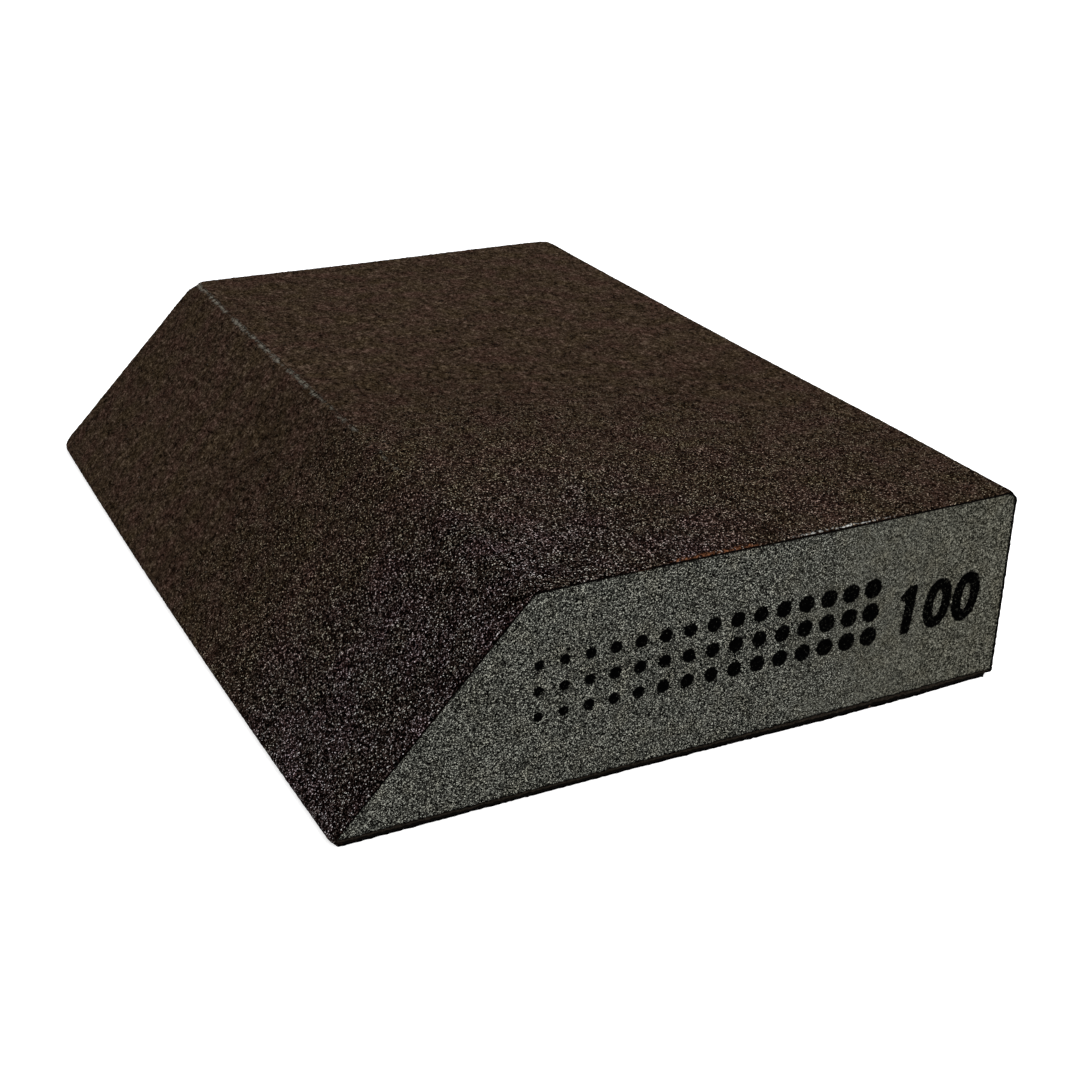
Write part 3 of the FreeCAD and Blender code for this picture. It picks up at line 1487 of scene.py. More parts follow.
    def standing(self) -> bpy.types.Material:
        """Build the material of the grains that stand out of the bed.

        Returns:
            The material.
        """
        tree = Tree("grit_standing")
        place = tree.place()
        fine = tree.noise(place, self.chip)
        shade = tree.sum_up("MULTIPLY", tree.sum_up("SUBTRACT", fine, 0.5), self.chip_shade)
        tone = tree.sum_up("MULTIPLY", tree.mask(Mask.TONE), self.dim)
        tone = tree.sum_up("ADD", tone, shade, clamp=True)
        # The standing grains take the same painted glints in their colour.
        tree.feed(tree.surface.inputs["Base Color"], self.coloured(tree, place, tone, tone))
        least, more = self.chip_rough
        gloss = tree.sum_up("MULTIPLY", fine, more)
        tree.feed(tree.surface.inputs["Roughness"], tree.sum_up("ADD", gloss, least))
        tree.surface.inputs["Specular IOR Level"].default_value = self.shine
        tree.feed(tree.surface.inputs["Normal"], tree.bump(fine, self.chip_step))
        return tree.material


@dataclass(frozen=True)
class ResinFinish:
    """Dark brown bonding resin, where it shows at the sawn ends.

    Attributes:
        colour: Its colour.
        amber: Its colour where it is thin.
        thin: Size of the thin stretches, and the noise between which they start.
        fleck: Size of the thin flecks in them, and the noise between which they start.
        rough: Its roughness.
        shine: How much it reflects.
        run: Size of its runs, in millimetres.
        run_depth: Depth of its runs.
    """

    colour: Colour = (0.0014, 0.0010, 0.0008)
    amber: Colour = (0.040, 0.015, 0.006)
    thin: Triple = (9.0, 0.60, 0.72)
    fleck: Triple = (0.25, 0.40, 0.62)
    rough: float = 0.6
    shine: float = 0.02
    run: float = 0.2
    run_depth: float = 0.03 * MM

    def material(self) -> bpy.types.Material:
        """Build the material of every resin film.

        Returns:
            The material.
        """
        tree = Tree("bonding_resin")
        place = tree.place()
        size, thick, thin = self.thin
        stretch = tree.band(tree.noise(place, size, 1.0), thick, thin)
        size, thick, thin = self.fleck
        fleck = tree.band(tree.noise(place, size), thick, thin)
        share = tree.sum_up("MULTIPLY", stretch, fleck)
        tree.feed(tree.surface.inputs["Base Color"], tree.mix(share, self.colour, self.amber))
        tree.feed(tree.surface.inputs["Roughness"], self.rough)
        tree.surface.inputs["Specular IOR Level"].default_value = self.shine
        runs = tree.bump(tree.noise(place, self.run), self.run_depth)
        tree.feed(tree.surface.inputs["Normal"], runs)
        return tree.material


@dataclass(frozen=True)
class FoamFinish:
    """Bare sawn grey-green foam, with fine open cells.

    Attributes:
        pitch: Distance from cell to cell in millimetres.
        coarse: Size of the coarser cells in millimetres.
        cells: Colours of the cells, from the open pores, painted near black as their shade,
        to the brightest struts.
        coarse_cells: Colours of the coarser cells, which take over towards the square side,
        warmer and with fewer dark pores.
        coarse_across: Places across the bar, in millimetres, where the coarser cells start
        and are full.
        ink: Colour of the stamped ink, and of foam that is soaked with resin; in the foot's
        dark bands it is also painted shade.
        stain_and_shade: Colour of the foam's foot: resin soaked in thinly, darkened further
        as painted shadow under the base's rounded edge. A line as dark as ink lies over it.
        foot_height: Base height of the foot in millimetres, that the next heights are counted from.
        wander: Size of the patches that the coarser cells' edge varies by, and how far it varies.
        hue: Size of the patches of slightly other hue.
        hues: Tints of those patches.
        ragged: Size of the waves in the foot's edge, and their height.
        dark_foot: Heights over the foot's base height where its darkest band, painted shade
        under the base, starts to end, and ends.
        foot_share: How dark it is there.
        dark_line: Heights over the foot's base height where the dark line over the foot
        starts, and is full.
        above_foot: Heights over the foot's base height where the plain foam above the foot
        starts, and is full.
        foot_speckle: How much the foot darkens from cell to cell.
        bleed: Size of the ink's runs, and how far they reach.
        ink_edge: Distances from the print's outline where the ink starts to end, and ends.
        missed: Random numbers from which a cell misses some ink, and misses most.
        missed_share: How much ink is missing there.
        tilt: How far the cells' walls tip.
        depth: Depth of the cells.
        rough: The foam's roughness.
    """

    pitch: float = 0.09
    coarse: float = 0.145
    # The darkest stops are painted shade in the open pores.
    cells: Stops = (
        (0.0, (0.0002, 0.0002, 0.0002)),
        (0.43, (0.0011, 0.0011, 0.0009)),
        (0.62, (0.0333, 0.0335, 0.0285)),
        (0.84, (0.1277, 0.1293, 0.1104)),
        (1.0, (0.5550, 0.5580, 0.4784)),
    )
    coarse_cells: Stops = (
        (0.0, (0.0037, 0.0036, 0.0026)),
        (0.25, (0.0189, 0.0186, 0.0139)),
        (0.55, (0.0693, 0.0680, 0.0534)),
        (0.85, (0.1344, 0.1318, 0.1056)),
        (1.0, (0.2625, 0.2592, 0.2090)),
    )
    coarse_across: tuple[float, float] = (8.0, 38.0)
    ink: Colour = (0.0008, 0.0008, 0.0008)
    stain_and_shade: Colour = (0.0260, 0.0205, 0.0155)
    foot_height: float = 0.60
    wander: tuple[float, float] = (6.0, 24.0)
    hue: float = 2.6
    hues: Stops = (
        (0.30, (1.02, 1.0, 0.96)),
        (0.50, WHITE),
        (0.70, (0.99, 1.0, 1.01)),
    )
    ragged: tuple[float, float] = (0.6, 0.5)
    dark_foot: tuple[float, float] = (0.28, 0.42)
    foot_share: float = 0.9
    dark_line: tuple[float, float] = (0.54, 0.64)
    above_foot: tuple[float, float] = (0.65, 0.90)
    foot_speckle: float = 0.75
    bleed: tuple[float, float] = (0.25, 0.5)
    ink_edge: tuple[float, float] = (-0.06, 0.08)
    missed: tuple[float, float] = (0.86, 1.0)
    missed_share: float = 0.10
    tilt: float = 0.5
    depth: float = 0.05 * MM
    rough: float = 0.9

    def material(self) -> bpy.types.Material:
        """Build the foam's material, with the ink where the ink mask is below 0.

        Returns:
            The material.
        """
        tree = Tree("sawn_foam")
        place = tree.place()
        across_up = tree.split(place)
        cell = tree.cells(place, self.coarse)
        tone = tree.split(cell.outputs["Color"]).outputs[0]
        fine = tree.split(tree.cells(place, self.pitch).outputs["Color"]).outputs[0]
        across = tree.sum_up("ADD", across_up.outputs[0], tree.uneven(place, *self.wander))
        coarse = tree.band(across, *self.coarse_across)
        colour = tree.mix(coarse, tree.ramp(fine, self.cells), tree.ramp(tone, self.coarse_cells))
        hue = tree.ramp(tree.noise(place, self.hue, 1.0), self.hues)
        colour = tree.mix(1.0, colour, hue, "MULTIPLY")
        # The foam's foot: thinly soaked resin and painted shadow under the base's rounded edge,
        # with a dark line over it.
        size, height = self.ragged
        ragged = tree.sum_up("MULTIPLY", tree.noise(place, size), height)
        over = tree.sum_up("SUBTRACT", tree.sum_up("ADD", across_up.outputs[2], ragged), self.foot_height)
        above_foot = tree.band(over, *self.above_foot)
        edge = tree.sum_up("ADD", tree.mask(Mask.INK), tree.uneven(place, *self.bleed))
        wet = tree.sum_up("SUBTRACT", 1.0, tree.band(edge, *self.ink_edge))
        missed = tree.sum_up("MULTIPLY", tree.band(tone, *self.missed), self.missed_share)
        wet = tree.sum_up("SUBTRACT", wet, missed, clamp=True)
        foot = tree.sum_up("SUBTRACT", 1.0, tree.band(over, *self.dark_foot))
        foot = tree.sum_up("MULTIPLY", foot, self.foot_share)
        dark = tree.sum_up("MAXIMUM", tree.band(over, *self.dark_line), foot)
        dark = tree.sum_up("MAXIMUM", dark, tree.sum_up("MULTIPLY", tone, self.foot_speckle))
        shaded_foot = tree.mix(dark, self.stain_and_shade, self.ink)
        colour = tree.mix(tree.sum_up("SUBTRACT", 1.0, above_foot), colour, shaded_foot)
        colour = tree.mix(wet, colour, self.ink)
        tree.feed(tree.surface.inputs["Base Color"], colour)
        tree.feed(tree.surface.inputs["Roughness"], self.rough)
        tree.surface.inputs["Specular IOR Level"].default_value = 0.0
        facets = tree.facets(cell.outputs["Color"], self.tilt)
        tree.feed(tree.surface.inputs["Normal"], tree.bump(tone, self.depth, facets))
        return tree.material


@dataclass(frozen=True)
class FloorFinish:
    """Plain white studio floor, which keeps the block's shadow.

    Attributes:
        colour: Its colour.
        fill: Light that the camera and glossy surfaces see on top of it.
        cloud: Size of the clouds in its shade, and how much they lighten it.
        rough: Its roughness.
    """

    colour: Colour = (0.80, 0.80, 0.80)
    fill: float = 0.68
    cloud: tuple[float, float] = (60.0, 0.02)
    rough: float = 0.9

    def material(self) -> bpy.types.Material:
        """Build the floor's material.

        Returns:
            The material.
        """
        tree = Tree("studio_floor")
        place = tree.place()
        size, amount = self.cloud
        cloud = tree.sum_up("MULTIPLY", tree.noise(place, size), amount)
        shade = tree.sum_up("ADD", cloud, 1.0 - amount)
        tree.feed(tree.surface.inputs["Base Color"],
                  tree.mix(1.0, self.colour, shade, "MULTIPLY"))
        tree.feed(tree.surface.inputs["Roughness"], self.rough)
        tree.surface.inputs["Specular IOR Level"].default_value = 0.0
        path = tree.add("LightPath")
        seen = tree.sum_up("MAXIMUM", path.outputs["Is Camera Ray"], path.outputs["Is Glossy Ray"])
        seen = tree.sum_up("MAXIMUM", seen, path.outputs["Is Transmission Ray"])
        glow = tree.add("Emission")
        tree.feed(glow.inputs["Strength"], tree.sum_up("MULTIPLY", seen, self.fill))
        both = tree.add("AddShader")
        tree.feed(both.inputs[0], tree.surface.outputs[0])
        tree.feed(both.inputs[1], glow.outputs[0])
        tree.feed(tree.nodes["Material Output"].inputs["Surface"], both.outputs[0])
        return tree.material


# --------------------------------------
# Sub-assemblies
# --------------------------------------


def hand_over(piece: bpy.types.Object, material: bpy.types.Material,
              node: str) -> None:
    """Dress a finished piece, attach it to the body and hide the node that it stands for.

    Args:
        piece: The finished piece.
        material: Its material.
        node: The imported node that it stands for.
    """
    piece.data.materials.clear()
    piece.data.materials.append(material)
    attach(piece, BODY)
    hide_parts(node)
    low, high = points_of(piece).min(0) / MM, points_of(piece).max(0) / MM
    piece.data.calc_loop_triangles()
    LOG.info("%s: %d triangles, %s to %s mm", piece.name, len(piece.data.loop_triangles),
             np.round(low, 2), np.round(high, 2))


@dataclass(frozen=True)
class Stamp:
    """The ink mark on one sawn end: the grade, and a plain band of graded dots.

    Attributes:
        grade: The number that is printed.
        digit_height: Size of the digits' type.
        digit_place: Left end and foot of the digits, across the bar and up.
        digit_width: Width of the digits, against the type's own.
        digit_spacing: Spacing of the digits, against the type's own.
        weight: How far the ink spreads out of the digits' strokes.
        slant: Lean of the digits.
        flag: Length and thickness of the short stroke at the head of the 1.
        flag_place: Its middle, across the bar and up.
        flag_turn: How far it is turned in the plane of the end, as an angle.
        columns: Columns of dots.
        rows: Rows of dots.
        band: Left end, foot, right end and head of the band's outer dots' centres.
        dot_sizes: Diameters of the first and last columns' dots.
        dot_sides: Sides that each dot is drawn with.
        curve_steps: Segments that each curve of a digit is drawn with.
        far: Distance from the print, in millimetres, past which it isn't told.
        batch: How many points are measured at a time.
    """

    grade: str = "100"
    digit_height: float = 8.2 * MM
    digit_place: tuple[float, float] = (27.1 * MM, 9.4 * MM)
    digit_width: float = 0.92
    digit_spacing: float = 1.12
    weight: float = 0.36 * MM
    slant: float = 0.11
    flag: tuple[float, float] = (1.35 * MM, 0.40 * MM)
    flag_place: tuple[float, float] = (28.85 * MM, 14.30 * MM)
    flag_turn: float = -0.7
    columns: int = 15
    rows: int = 3
    band: tuple[float, float, float, float] = (-20.0 * MM, 9.9 * MM, 23.6 * MM, 16.1 * MM)
    dot_sizes: tuple[float, float] = (1.2 * MM, 2.5 * MM)
    dot_sides: int = 24
    curve_steps: int = 6
    far: float = 3.0
    batch: int = 4000

    def digits(self) -> bpy.types.Object:
        """Set the grade as flat type in the plane of the bar's section.

        Returns:
            The type as a mesh.
        """
        deselect_all()
        bpy.ops.object.text_add()
        text = bpy.context.active_object
        text.data.body = self.grade
        text.data.size = self.digit_height
        text.data.shear = self.slant
        text.data.space_character = self.digit_spacing
        text.data.resolution_u = self.curve_steps
        bpy.ops.object.convert(target="MESH")
        place = Matrix.Translation((self.digit_place[0], 0.0, self.digit_place[1]))
        turn = Matrix.Rotation(math.pi / 2, 4, "X")
        text.data.transform(place @ turn @ Matrix.Diagonal((self.digit_width, 1.0, 1.0, 1.0)))
        return text

    def short_stroke(self) -> bpy.types.Object:
        """Lay a short sloping stroke against the head of the 1.

        Returns:
            The stroke.
        """
        deselect_all()
        bpy.ops.mesh.primitive_plane_add(
            size=1.0, location=(self.flag_place[0], 0.0, self.flag_place[1]),
            rotation=(math.pi / 2, self.flag_turn, 0.0),
        )
        bpy.context.active_object.scale = (*self.flag, 1.0)
        return take_primitive("flag")

    def dots(self) -> list[bpy.types.Object]:
        """Lay out the band of dots, each one a flat disc.

        Returns:
            The discs.
        """
        left, foot, right, head = self.band
        smallest, largest = self.dot_sizes
        discs = []
        for column in range(self.columns):
            share = column / (self.columns - 1)
            size = smallest + (largest - smallest) * share
            for row in range(self.rows):
                x = left + (right - left) * share
                z = foot + (head - foot) * row / (self.rows - 1)
                deselect_all()
                bpy.ops.mesh.primitive_circle_add(
                    vertices=self.dot_sides, radius=size / 2, fill_type="NGON",
                    location=(x, 0.0, z), rotation=(math.pi / 2, 0.0, 0.0),
                )
                discs.append(take_primitive("dot"))
        return discs

    def rims(self, shapes: list[bpy.types.Object]) -> np.ndarray:
        """Take the outlines of flat shapes, and remove the shapes.

        Args:
            shapes: The shapes.

        Returns:
            One row for each short line: x and z of its start, then of its end.
        """
        lines = []
        for shape in shapes:
            mesh = bmesh.new()
            mesh.from_mesh(shape.data)
            bmesh.ops.remove_doubles(mesh, verts=mesh.verts, dist=TINY)
            for edge in mesh.edges:
                if edge.is_boundary:
                    a, b = edge.verts[0].co, edge.verts[1].co
                    lines.append((a.x, a.z, b.x, b.z))
            mesh.free()
            bpy.data.objects.remove(shape)
        return np.array(lines)

    def from_rims(self, lines: np.ndarray, spots: np.ndarray) -> np.ndarray:
        """Signed distance from closed outlines.

        Args:
            lines: The outlines' short lines.
            spots: Points, one row of x and z each.

        Returns:
            One distance for each point, below 0 inside.
        """
        result = np.empty(len(spots))
        start, end = lines[:, :2], lines[:, 2:]
        step = end - start
        squared = np.maximum((step**2).sum(1), TINY**2)
        for first in range(0, len(spots), self.batch):
            part = slice(first, first + self.batch)
            spot = spots[part]
            away = spot[:, None, :] - start
            share = np.clip((away * step).sum(2) / squared, 0.0, 1.0)
            nearest = np.linalg.norm(away - share[..., None] * step, axis=2).min(1)
            over = (start[:, 1] > spot[:, 1:]) != (end[:, 1] > spot[:, 1:])
            with np.errstate(divide="ignore", invalid="ignore"):
                crossing = start[:, 0] + (spot[:, 1:] - start[:, 1]) * step[:, 0] / step[:, 1]
            inside = (over & (crossing > spot[:, :1])).sum(1) % 2 == 1
            result[part] = np.where(inside, -nearest, nearest)
        return result

    def distance(self, across: np.ndarray, up: np.ndarray) -> np.ndarray:
        """Signed distance from everything that is printed.

        Args:
            across: Places across the bar.
            up: Places above the base.

        Returns:
            Distances in millimetres, below 0 inside the print.
        """
        spots = np.stack([across, up], 1)
        nearest = self.from_rims(self.rims(self.dots()), spots)
        for stroke in (self.digits(), self.short_stroke()):
            spread = self.from_rims(self.rims([stroke]), spots) - self.weight
            nearest = np.minimum(nearest, spread)
        return np.clip(nearest / MM, -self.far, self.far)


@dataclass(frozen=True)
class FoamCore:
    """The foam bar with its two sawn ends.

    Attributes:
        section: The bar's section.
        finish: The foam's finish.
        stamp: The mark on the front end.
        cell: Size of the squares that the sawn ends are divided into.
        spare: How much larger than the foam's box the ends' sheet starts.
        rim: Width of the strip along the coats where the foam stands full.
        shallow: Share of the relief's depth that is left at the coats.
        reliefs: The sawn ends' open cells, and their slow unevenness.
        soaked: Width of the strip along the square side that the resin has soaked into.
    """

    section: Section
    finish: FoamFinish
    stamp: Stamp
    cell: float = 0.235 * MM
    spare: float = 1.01
    rim: float = 0.5 * MM
    shallow: float = 0.25
    reliefs: tuple[Relief, ...] = (
        Relief(Pattern.CELLS, 0.8 * MM, 0.03 * MM, Mask.SAWN),
        Relief(Pattern.CLOUDS, 0.30 * MM, 0.11 * MM, Mask.SAWN),
    )
    soaked: float = 0.12 * MM

    def front_end(self) -> bpy.types.Object:
        """Trim a finely divided sheet to the section's outline.

        Returns:
            The front end, as a flat sheet that looks towards -Y.
        """
        low, high = (Vector(corner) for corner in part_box("foam_core"))
        width, height = high.x - low.x, high.z - low.z
        deselect_all()
        bpy.ops.mesh.primitive_grid_add(
            x_subdivisions=round(width / self.cell),
            y_subdivisions=round(height / self.cell),
            size=1.0,
            location=((low.x + high.x) / 2, low.y, (low.z + high.z) / 2),
            rotation=(math.pi / 2, 0.0, 0.0),
        )
        bpy.context.active_object.scale = (width * self.spare, height * self.spare, 1.0)
        sheet = take_primitive("foam")
        steps = {Face.BASE: 5, Face.SIDE: 4, Face.TOP: 4, Face.BEVEL: 3}
        corners = self.section.outline(steps)
        with Bench(sheet).editing():
            for start, end in zip(corners, corners[1:] + corners[:1]):
                along = (end - start).normalized()
                bpy.ops.mesh.select_all(action="SELECT")
                bpy.ops.mesh.bisect(
                    plane_co=(start.x, low.y, start.z),
                    plane_no=(along.z, 0.0, -along.x),
                    clear_outer=True,
                    threshold=0.002 * MM,
                )
        return sheet

    def bar(self) -> bpy.types.Object:
        """Copy the front end to the back, and join the two with the long faces.

        Returns:
            The closed bar, with flat ends.
        """
        piece = self.front_end()
        bench = Bench(piece)
        length = self.section.length
        with bench.editing():
            bpy.ops.mesh.select_all(action="SELECT")
            bpy.ops.mesh.duplicate_move(TRANSFORM_OT_translate={"value": (0.0, length, 0.0)})
            bpy.ops.mesh.flip_normals()
            bpy.ops.mesh.select_all(action="SELECT")
            bpy.ops.mesh.region_to_loop()
            bpy.ops.mesh.bridge_edge_loops()
            bench.pick_edges(lambda a, b: abs(a.y - b.y) > NEARLY * length)
            bench.divide(STRETCHES)
        return piece

    def build(self) -> bpy.types.Object:
        """Model the bar, open its cells at the sawn ends and print its mark.

        Returns:
            The finished foam.
        """
        piece = self.bar()
        piece.name = piece.data.name = "foam"
        places = points_of(piece)
        on_end = np.abs(places[:, 1]) > self.section.length / 2 - TINY
        depth = np.full(len(places), np.inf)
        for face in Face:
            depth = np.minimum(depth, -self.section.height(face, places))
        weight = self.shallow + (1.0 - self.shallow) * smooth_step(depth, 0.0, self.rim)
        write_group(piece, Mask.SAWN, np.where(on_end, weight, 0.0))
        for relief in self.reliefs:
            relief.press(piece)
        printed = on_end & (places[:, 1] < 0.0)
        ink = np.full(len(places), self.stamp.far)
        ink[printed] = self.stamp.distance(places[printed, 0], places[printed, 2])
        from_side = -self.section.height(Face.SIDE, places) - self.soaked
        ink = np.where(on_end, np.minimum(ink, from_side / MM), ink)
        write_mask(piece, Mask.INK, ink)
        return piece

    def dress(self, piece: bpy.types.Object) -> None:
        hand_over(piece, self.finish.material(), "foam_core")


@dataclass(frozen=True)
class RidgeWearAndSheen:
    """The narrow light line along the ridge: rubbed grain, with a painted highlight along the edge.

    Attributes:
        seed: Chooses its course.
        knots: Places along the bar that its strength is drawn for, an even number.
        wander: Limits of its course, as shares of the ridge's turn.
        spread: How far it spreads from its course, as an angle.
        depth: How far under the bed's outside it goes.
        fresh: Drawn numbers from 0 to 1 at which it is fresh, and at which it is bare.
        strength: Places along the bar in millimetres, and how strong it is there.
    """

    seed: int = 12
    knots: int = 140
    wander: tuple[float, float] = (0.05, 0.32)
    spread: float = 0.33
    depth: float = 0.3 * MM
    fresh: tuple[float, float] = (-0.3, 0.7)
    strength: tuple[tuple[float, float], ...] = (
        (-62.0, 0.0), (-40.0, 0.20), (-15.0, 0.55), (5.0, 0.80), (20.0, 1.0), (62.0, 0.85),
    )

    def worn(self, section: Section, places: np.ndarray) -> np.ndarray:
        """How strongly points of a bed take the light ridge line, from 0 to 1.

        Args:
            section: The bar's section.
            places: The points, one row each.

        Returns:
            One number for each point.
        """
        ridge = section.rounds[Face.BEVEL]
        from_centre = np.hypot(places[:, 0] - ridge.x, places[:, 2] - ridge.z)
        reach = ridge.radius + section.film + section.grit[Face.BEVEL]
        turn = np.arctan2(places[:, 2] - ridge.z, places[:, 0] - ridge.x)
        chance = np.random.default_rng(self.seed)
        knots = np.linspace(-section.length / 2, section.length / 2, self.knots)
        course = chance.uniform(*self.wander, self.knots // 2)
        middle = np.interp(places[:, 1], knots[::2], course)
        middle = ridge.start + middle * (ridge.end - ridge.start)
        near = np.exp(-(((turn - middle) / self.spread) ** 2))
        near *= np.abs(from_centre - reach) < self.depth
        spots, amounts = zip(*self.strength)
        rubbed = smooth_step(chance.uniform(0.0, 1.0, self.knots), *self.fresh)
        rubbed *= np.interp(knots / MM, spots, amounts)
        return near * np.interp(places[:, 1], knots, rubbed)


@dataclass(frozen=True)
class WearAndSheenRim:
    """A stretch of the top's front edge where the grain is rubbed, with a painted highlight, or
    gone.

    Attributes:
        begin: Places across the bar where it starts, and is full.
        end: Places where it starts to fade, and has faded.
        width: Its least and greatest width, back from the edge.
        strength: Its least and greatest strength.
        level: Shares of the bed's thickness at which it starts, and is full.
        seed: Chooses its widths and strengths.
        knots: Places across the bar that they are drawn for.
        knots_reach: How far to each side of the middle those places go.
    """

    begin: tuple[float, float]
    end: tuple[float, float]
    width: tuple[float, float]
    strength: tuple[float, float]
    level: tuple[float, float]
    seed: int = 13
    knots: int = 260
    knots_reach: float = 50.0 * MM

    def worn(self, section: Section, places: np.ndarray) -> np.ndarray:
        """How strongly points of the top's bed take the stretch, from 0 to 1.

        Args:
            section: The bar's section.
            places: The points, one row each.

        Returns:
            One number for each point.
        """
        chance = np.random.default_rng(self.seed)
        knots = np.linspace(-self.knots_reach, self.knots_reach, self.knots)
        widths = chance.uniform(*self.width, self.knots)
        strengths = chance.uniform(*self.strength, self.knots)
        from_front = places[:, 1] + section.length / 2
        worn = np.exp(-((from_front / np.interp(places[:, 0], knots, widths)) ** 2))
        worn *= np.interp(places[:, 0], knots, strengths)
        worn *= smooth_step(places[:, 0], *self.begin)
        worn *= 1.0 - smooth_step(places[:, 0], *self.end)
        level = section.height(Face.TOP, places) - section.film
        return worn * smooth_step(level / section.grit[Face.TOP], *self.level)


@dataclass(frozen=True)
class Coat:
    """The coat of one long face: a film of resin, a bed of grain and standing grains.

    Attributes:
        section: The bar's section.
        face: The face that it covers.
        cell: Size of the squares that the bed is divided into.
        density: Standing grains for each square metre.
        sunk: How far the standing grains sink into the bed.
        rolls: Whether it rolls round the face's edges.
        dark: Share of the bed's thickness that is dark at its sawn ends.
        fade: Share of the thickness that the dark fades out over.
        seam: Distances from the next coats between which the relief comes in.
        film_cell: Width of the film's strips.
        film_relief: The film's uneven sawn edge.
        bed_reliefs: The bed's grain, its slow unevenness and its ragged sawn edge.
        ridge: The light line along the ridge: rubbed grain, with a painted highlight.
        rims: Stretches of its front edge that are worn, some with a painted highlight, by the
        mask that they go to.
        first_seed: Seed of the first face's standing grains.
    """

    section: Section
    face: Face
    cell: float
    density: float
    sunk: float
    rolls: bool
    dark: float
    fade: float = 0.3
    seam: tuple[float, float] = (0.05 * MM, 0.6 * MM)
    film_cell: float = 0.4 * MM
    film_relief: Relief = Relief(Pattern.CLOUDS, 0.5 * MM, 0.10 * MM, Mask.SAWN)
    bed_reliefs: tuple[Relief, ...] = (
        Relief(Pattern.CELLS, 0.45 * MM, 0.09 * MM, Mask.OUTER),
        Relief(Pattern.CLOUDS, 1.6 * MM, 0.035 * MM, Mask.OUTER),
        Relief(Pattern.CLOUDS, 0.35 * MM, 0.14 * MM, Mask.SAWN),
    )
    ridge: RidgeWearAndSheen = RidgeWearAndSheen()
    rims: tuple[tuple[Mask, WearAndSheenRim], ...] = ()
    first_seed: int = 40

    def outer(self) -> float:
        """Height of the bed's highest points over the foam."""
        return self.section.film + self.section.grit[self.face]

    def masks(self, piece: bpy.types.Object) -> tuple[np.ndarray, np.ndarray]:
        """Measure where a layer's outside and its sawn ends are.

        Args:
            piece: The layer, before any relief.

        Returns:
            For each vertex, its weight on the outside, which fades to 0 at the seams with
            the next coats, and 1 on a sawn end or 0.
        """
        places = points_of(piece)
        height = self.section.height(self.face, places)
        outside = np.abs(height - self.outer()) < CLOSE
        before, after = self.section.rounds[self.face], self.section.round_after(self.face)
        seams = (
            before.point(before.start if self.rolls else before.end, self.outer()),
            after.point(after.end if self.rolls else after.start, self.outer()),
        )
        for seam in seams:
            away = np.hypot(places[:, 0] - seam.x, places[:, 2] - seam.z)
            outside = outside * smooth_step(away, *self.seam)
        sawn = np.abs(places[:, 1]) > self.section.length / 2 - TINY
        return outside, sawn.astype(float)

    def film(self) -> bpy.types.Object:
        """Model the resin film, with a slightly uneven sawn edge.

        Returns:
            The film.
        """
        name = self.face.value + "_resin"
        layer = Layer(self.section, self.face, 0.0, self.section.film, across=self.film_cell,
                      along=self.section.length, rows=1, rolls=self.rolls)
        piece = layer.build(name)
        _, sawn = self.masks(piece)
        write_group(piece, Mask.SAWN, sawn)
        self.film_relief.press(piece)
        return piece

    def bed(self) -> bpy.types.Object:
        """Model the bed of grain, with its relief and its ragged sawn edge.

        Returns:
            The bed.
        """
        name = self.face.value + "_grit"
        layer = Layer(self.section, self.face, self.section.film, self.outer(),
                      across=self.cell, along=self.cell, rows=3, rolls=self.rolls)
        piece = layer.build(name)
        outside, sawn = self.masks(piece)
        places = points_of(piece)
        write_group(piece, Mask.OUTER, outside)
        write_group(piece, Mask.SAWN, sawn)
        for relief in self.bed_reliefs:
            relief.press(piece)
        write_mask(piece, Mask.RIDGE, self.ridge.worn(self.section, places))
        for mask, rim in self.rims:
            write_mask(piece, mask, rim.worn(self.section, places))
        level = self.section.height(self.face, places) - self.section.film
        level /= self.section.grit[self.face]
        light = smooth_step(level, self.dark, self.dark + self.fade)
        write_mask(piece, Mask.CUT, sawn * (1.0 - light))
        return piece

    def build(self, shapes: list[Shape]) -> dict[str, bpy.types.Object]:
        """Model the coat's three pieces.

        Args:
            shapes: The modelled grains.

        Returns:
            The film, the bed and the standing grains.
        """
        seed = self.first_seed + list(Face).index(self.face)
        scatter = Scatter(self.section, self.face, self.outer() - self.sunk, self.density,
                          self.rolls, seed)
        return {
            "film": self.film(),
            "bed": self.bed(),
            "standing": scatter.build(self.face.value + "_grains", shapes),
        }

    def dress(self, pieces: dict[str, bpy.types.Object],
              materials: dict[str, bpy.types.Material]) -> None:
        """Give the coat's pieces their finishes.

        Args:
            pieces: The film, the bed and the standing grains.
            materials: A material for each of them.
        """
        film, layer = f"{self.face.value}_resin_film", f"{self.face.value}_grit_layer"
        hand_over(pieces["film"], materials["film"], film)
        hand_over(pieces["bed"], materials["bed"], layer)
        hand_over(pieces["standing"], materials["standing"], layer)


@dataclass(frozen=True)
class Softbox:
    """A square soft light that points at the block.

    Attributes:
        name: Its name.
        place: Where it hangs.
        size: Length of its sides.
        power: Its power in watts.
    """

    name: str
    place: Triple
    size: float
    power: float

    def hang(self) -> None:
        """Hang the light at its place."""
        deselect_all()
        bpy.ops.object.light_add(type="AREA", location=self.place)
        lamp = bpy.context.active_object
        lamp.name = self.name
        lamp.rotation_euler = (-Vector(self.place)).to_track_quat("-Z", "Y").to_euler()
        lamp.data.shape = "SQUARE"
        lamp.data.size = self.size
        lamp.data.energy = self.power


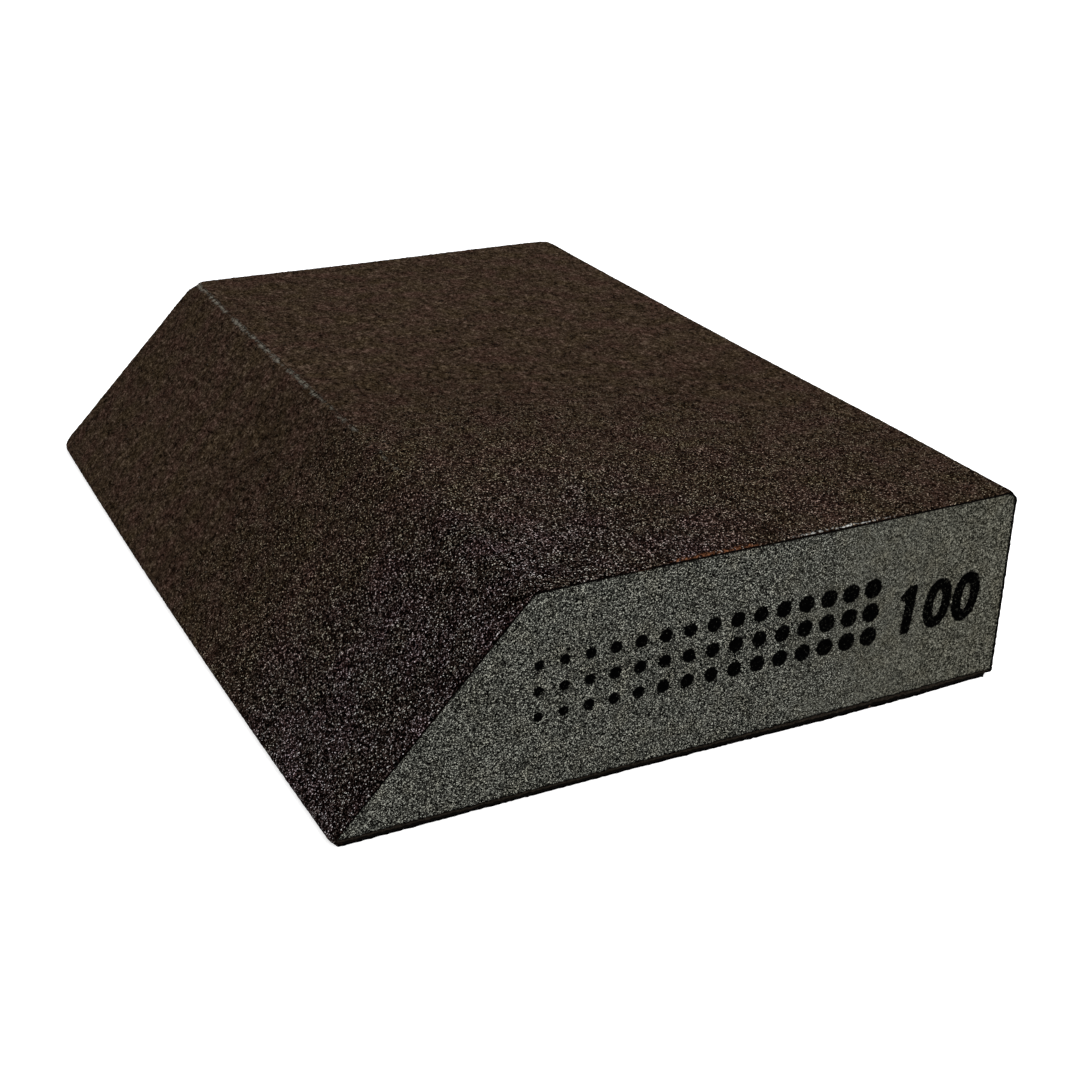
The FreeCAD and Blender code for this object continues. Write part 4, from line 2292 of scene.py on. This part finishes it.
@dataclass(frozen=True)
class Studio:
    """Floor, lights and camera.

    Attributes:
        floor: The floor's finish.
        eye: Where the camera stands.
        azimuth: Direction that it stands in, in degrees.
        elevation: Its angle above the level, in degrees.
        roll: Its turn about its own axis, in degrees.
        lens: Focal length in millimetres.
        sensor: Width of the sensor in millimetres.
        sky: Strength of the even light from all round.
        softboxes: The soft lights.
        floor_size: Length of the floor's sides.
    """

    floor: FloorFinish
    eye: Triple = (-93.22 * MM, -209.59 * MM, 106.79 * MM)
    azimuth: float = -26.57
    elevation: float = 24.74
    roll: float = 0.51
    lens: float = 58.47
    sensor: float = 36.0
    sky: float = 0.55
    softboxes: tuple[Softbox, ...] = (
        Softbox("key", (0.25, -0.35, 0.95), size=0.7, power=5.5),
        Softbox("fill", (0.35, -0.95, 0.55), size=0.8, power=4.0),
    )
    floor_size: float = 6.0

    def build_floor(self) -> None:
        """Lay the floor under the block."""
        deselect_all()
        bpy.ops.mesh.primitive_plane_add(size=self.floor_size, location=(0.0, 0.0, 0.0))
        floor = take_primitive("floor")
        floor.data.materials.append(self.floor.material())

    def build_sky(self) -> None:
        """Light evenly from all round, and show plain white behind the floor."""
        world = bpy.data.worlds.new("studio")
        world.use_nodes = True
        nodes, links = world.node_tree.nodes, world.node_tree.links
        background = nodes["Background"]
        background.inputs["Color"].default_value = (1.0, 1.0, 1.0, 1.0)
        path = nodes.new("ShaderNodeLightPath")
        white = nodes.new("ShaderNodeMath")
        white.operation = "MULTIPLY_ADD"
        links.new(path.outputs["Is Camera Ray"], white.inputs[0])
        white.inputs[1].default_value = 1.0 - self.sky
        white.inputs[2].default_value = self.sky
        links.new(white.outputs[0], background.inputs["Strength"])
        bpy.context.scene.world = world

    def build_camera(self) -> None:
        """Stand the camera at its place, with everything in focus."""
        turn, rise, roll = (math.radians(a) for a in (self.azimuth, self.elevation, self.roll))
        back = Vector((math.sin(turn) * math.cos(rise), -math.cos(turn) * math.cos(rise),
                       math.sin(rise)))
        level = (-back).cross(Vector((0.0, 0.0, 1.0))).normalized()
        upright = level.cross(-back)
        right = level * math.cos(roll) + upright * math.sin(roll)
        top = upright * math.cos(roll) - level * math.sin(roll)
        deselect_all()
        bpy.ops.object.camera_add(location=self.eye)
        camera = bpy.context.active_object
        camera.rotation_euler = Matrix((right, top, back)).transposed().to_euler()
        camera.data.sensor_width = self.sensor
        camera.data.lens = self.lens
        camera.data.clip_start = 0.01
        camera.data.dof.use_dof = False
        bpy.context.scene.camera = camera

    def build(self) -> None:
        """Set up the whole studio."""
        self.build_floor()
        self.build_sky()
        for softbox in self.softboxes:
            softbox.hang()
        self.build_camera()
        bpy.context.scene.view_settings.view_transform = "Standard"


def coats(section: Section) -> list[Coat]:
    """List the four coats.

    Args:
        section: The bar's section.

    Returns:
        The coats, in the order that they are built in.
    """
    # The first rim is rubbed grain with a painted highlight; the second is bare resin.
    rubbed = WearAndSheenRim(begin=(9 * MM, 15 * MM), end=(21 * MM, 30 * MM),
                     width=(0.18 * MM, 0.62 * MM), strength=(0.35, 1.0), level=(0.3, 0.6))
    bare = WearAndSheenRim(begin=(-7 * MM, -1 * MM), end=(5 * MM, 9 * MM),
                   width=(0.55 * MM, 0.55 * MM), strength=(1.0, 1.0), level=(0.1, 0.4))
    return [
        Coat(section, Face.TOP, cell=0.32 * MM, density=0.62e6, sunk=0.03 * MM, rolls=False,
             dark=0.08, rims=((Mask.WEAR, rubbed), (Mask.AMBER, bare))),
        Coat(section, Face.BEVEL, cell=0.30 * MM, density=0.75e6, sunk=0.03 * MM, rolls=True,
             dark=0.10),
        Coat(section, Face.SIDE, cell=0.32 * MM, density=0.70e6, sunk=0.03 * MM, rolls=True,
             dark=1.0),
        Coat(section, Face.BASE, cell=0.38 * MM, density=0.42e6, sunk=0.10 * MM, rolls=False,
             dark=1.0),
    ]


def main() -> None:
    """Build the block and its studio, in order."""
    logging.basicConfig(level=logging.INFO, format="%(name)s: %(message)s")
    section = Section.from_frame(ridge_radius=1.0 * MM)
    lie = Lie(section)
    core = FoamCore(section, FoamFinish(), Stamp())
    foam = core.build()
    lie.settle(foam, whole=True)
    core.dress(foam)

    grit = GritFinish()
    materials = {
        "film": ResinFinish().material(),
        "bed": grit.bed(),
        "standing": grit.standing(),
    }
    shapes = [Grain(seed).build() for seed in GRAIN_SEEDS]
    for coat in coats(section):
        pieces = coat.build(shapes)
        for piece in pieces.values():
            lie.settle(piece, whole=False)
        coat.dress(pieces, materials)
    Studio(FloorFinish()).build()

    def corners(box: tuple) -> list[list[float]]:
        """A box as plain lists."""
        return [list(map(float, corner)) for corner in box]


if __name__ == "__main__":
    main()
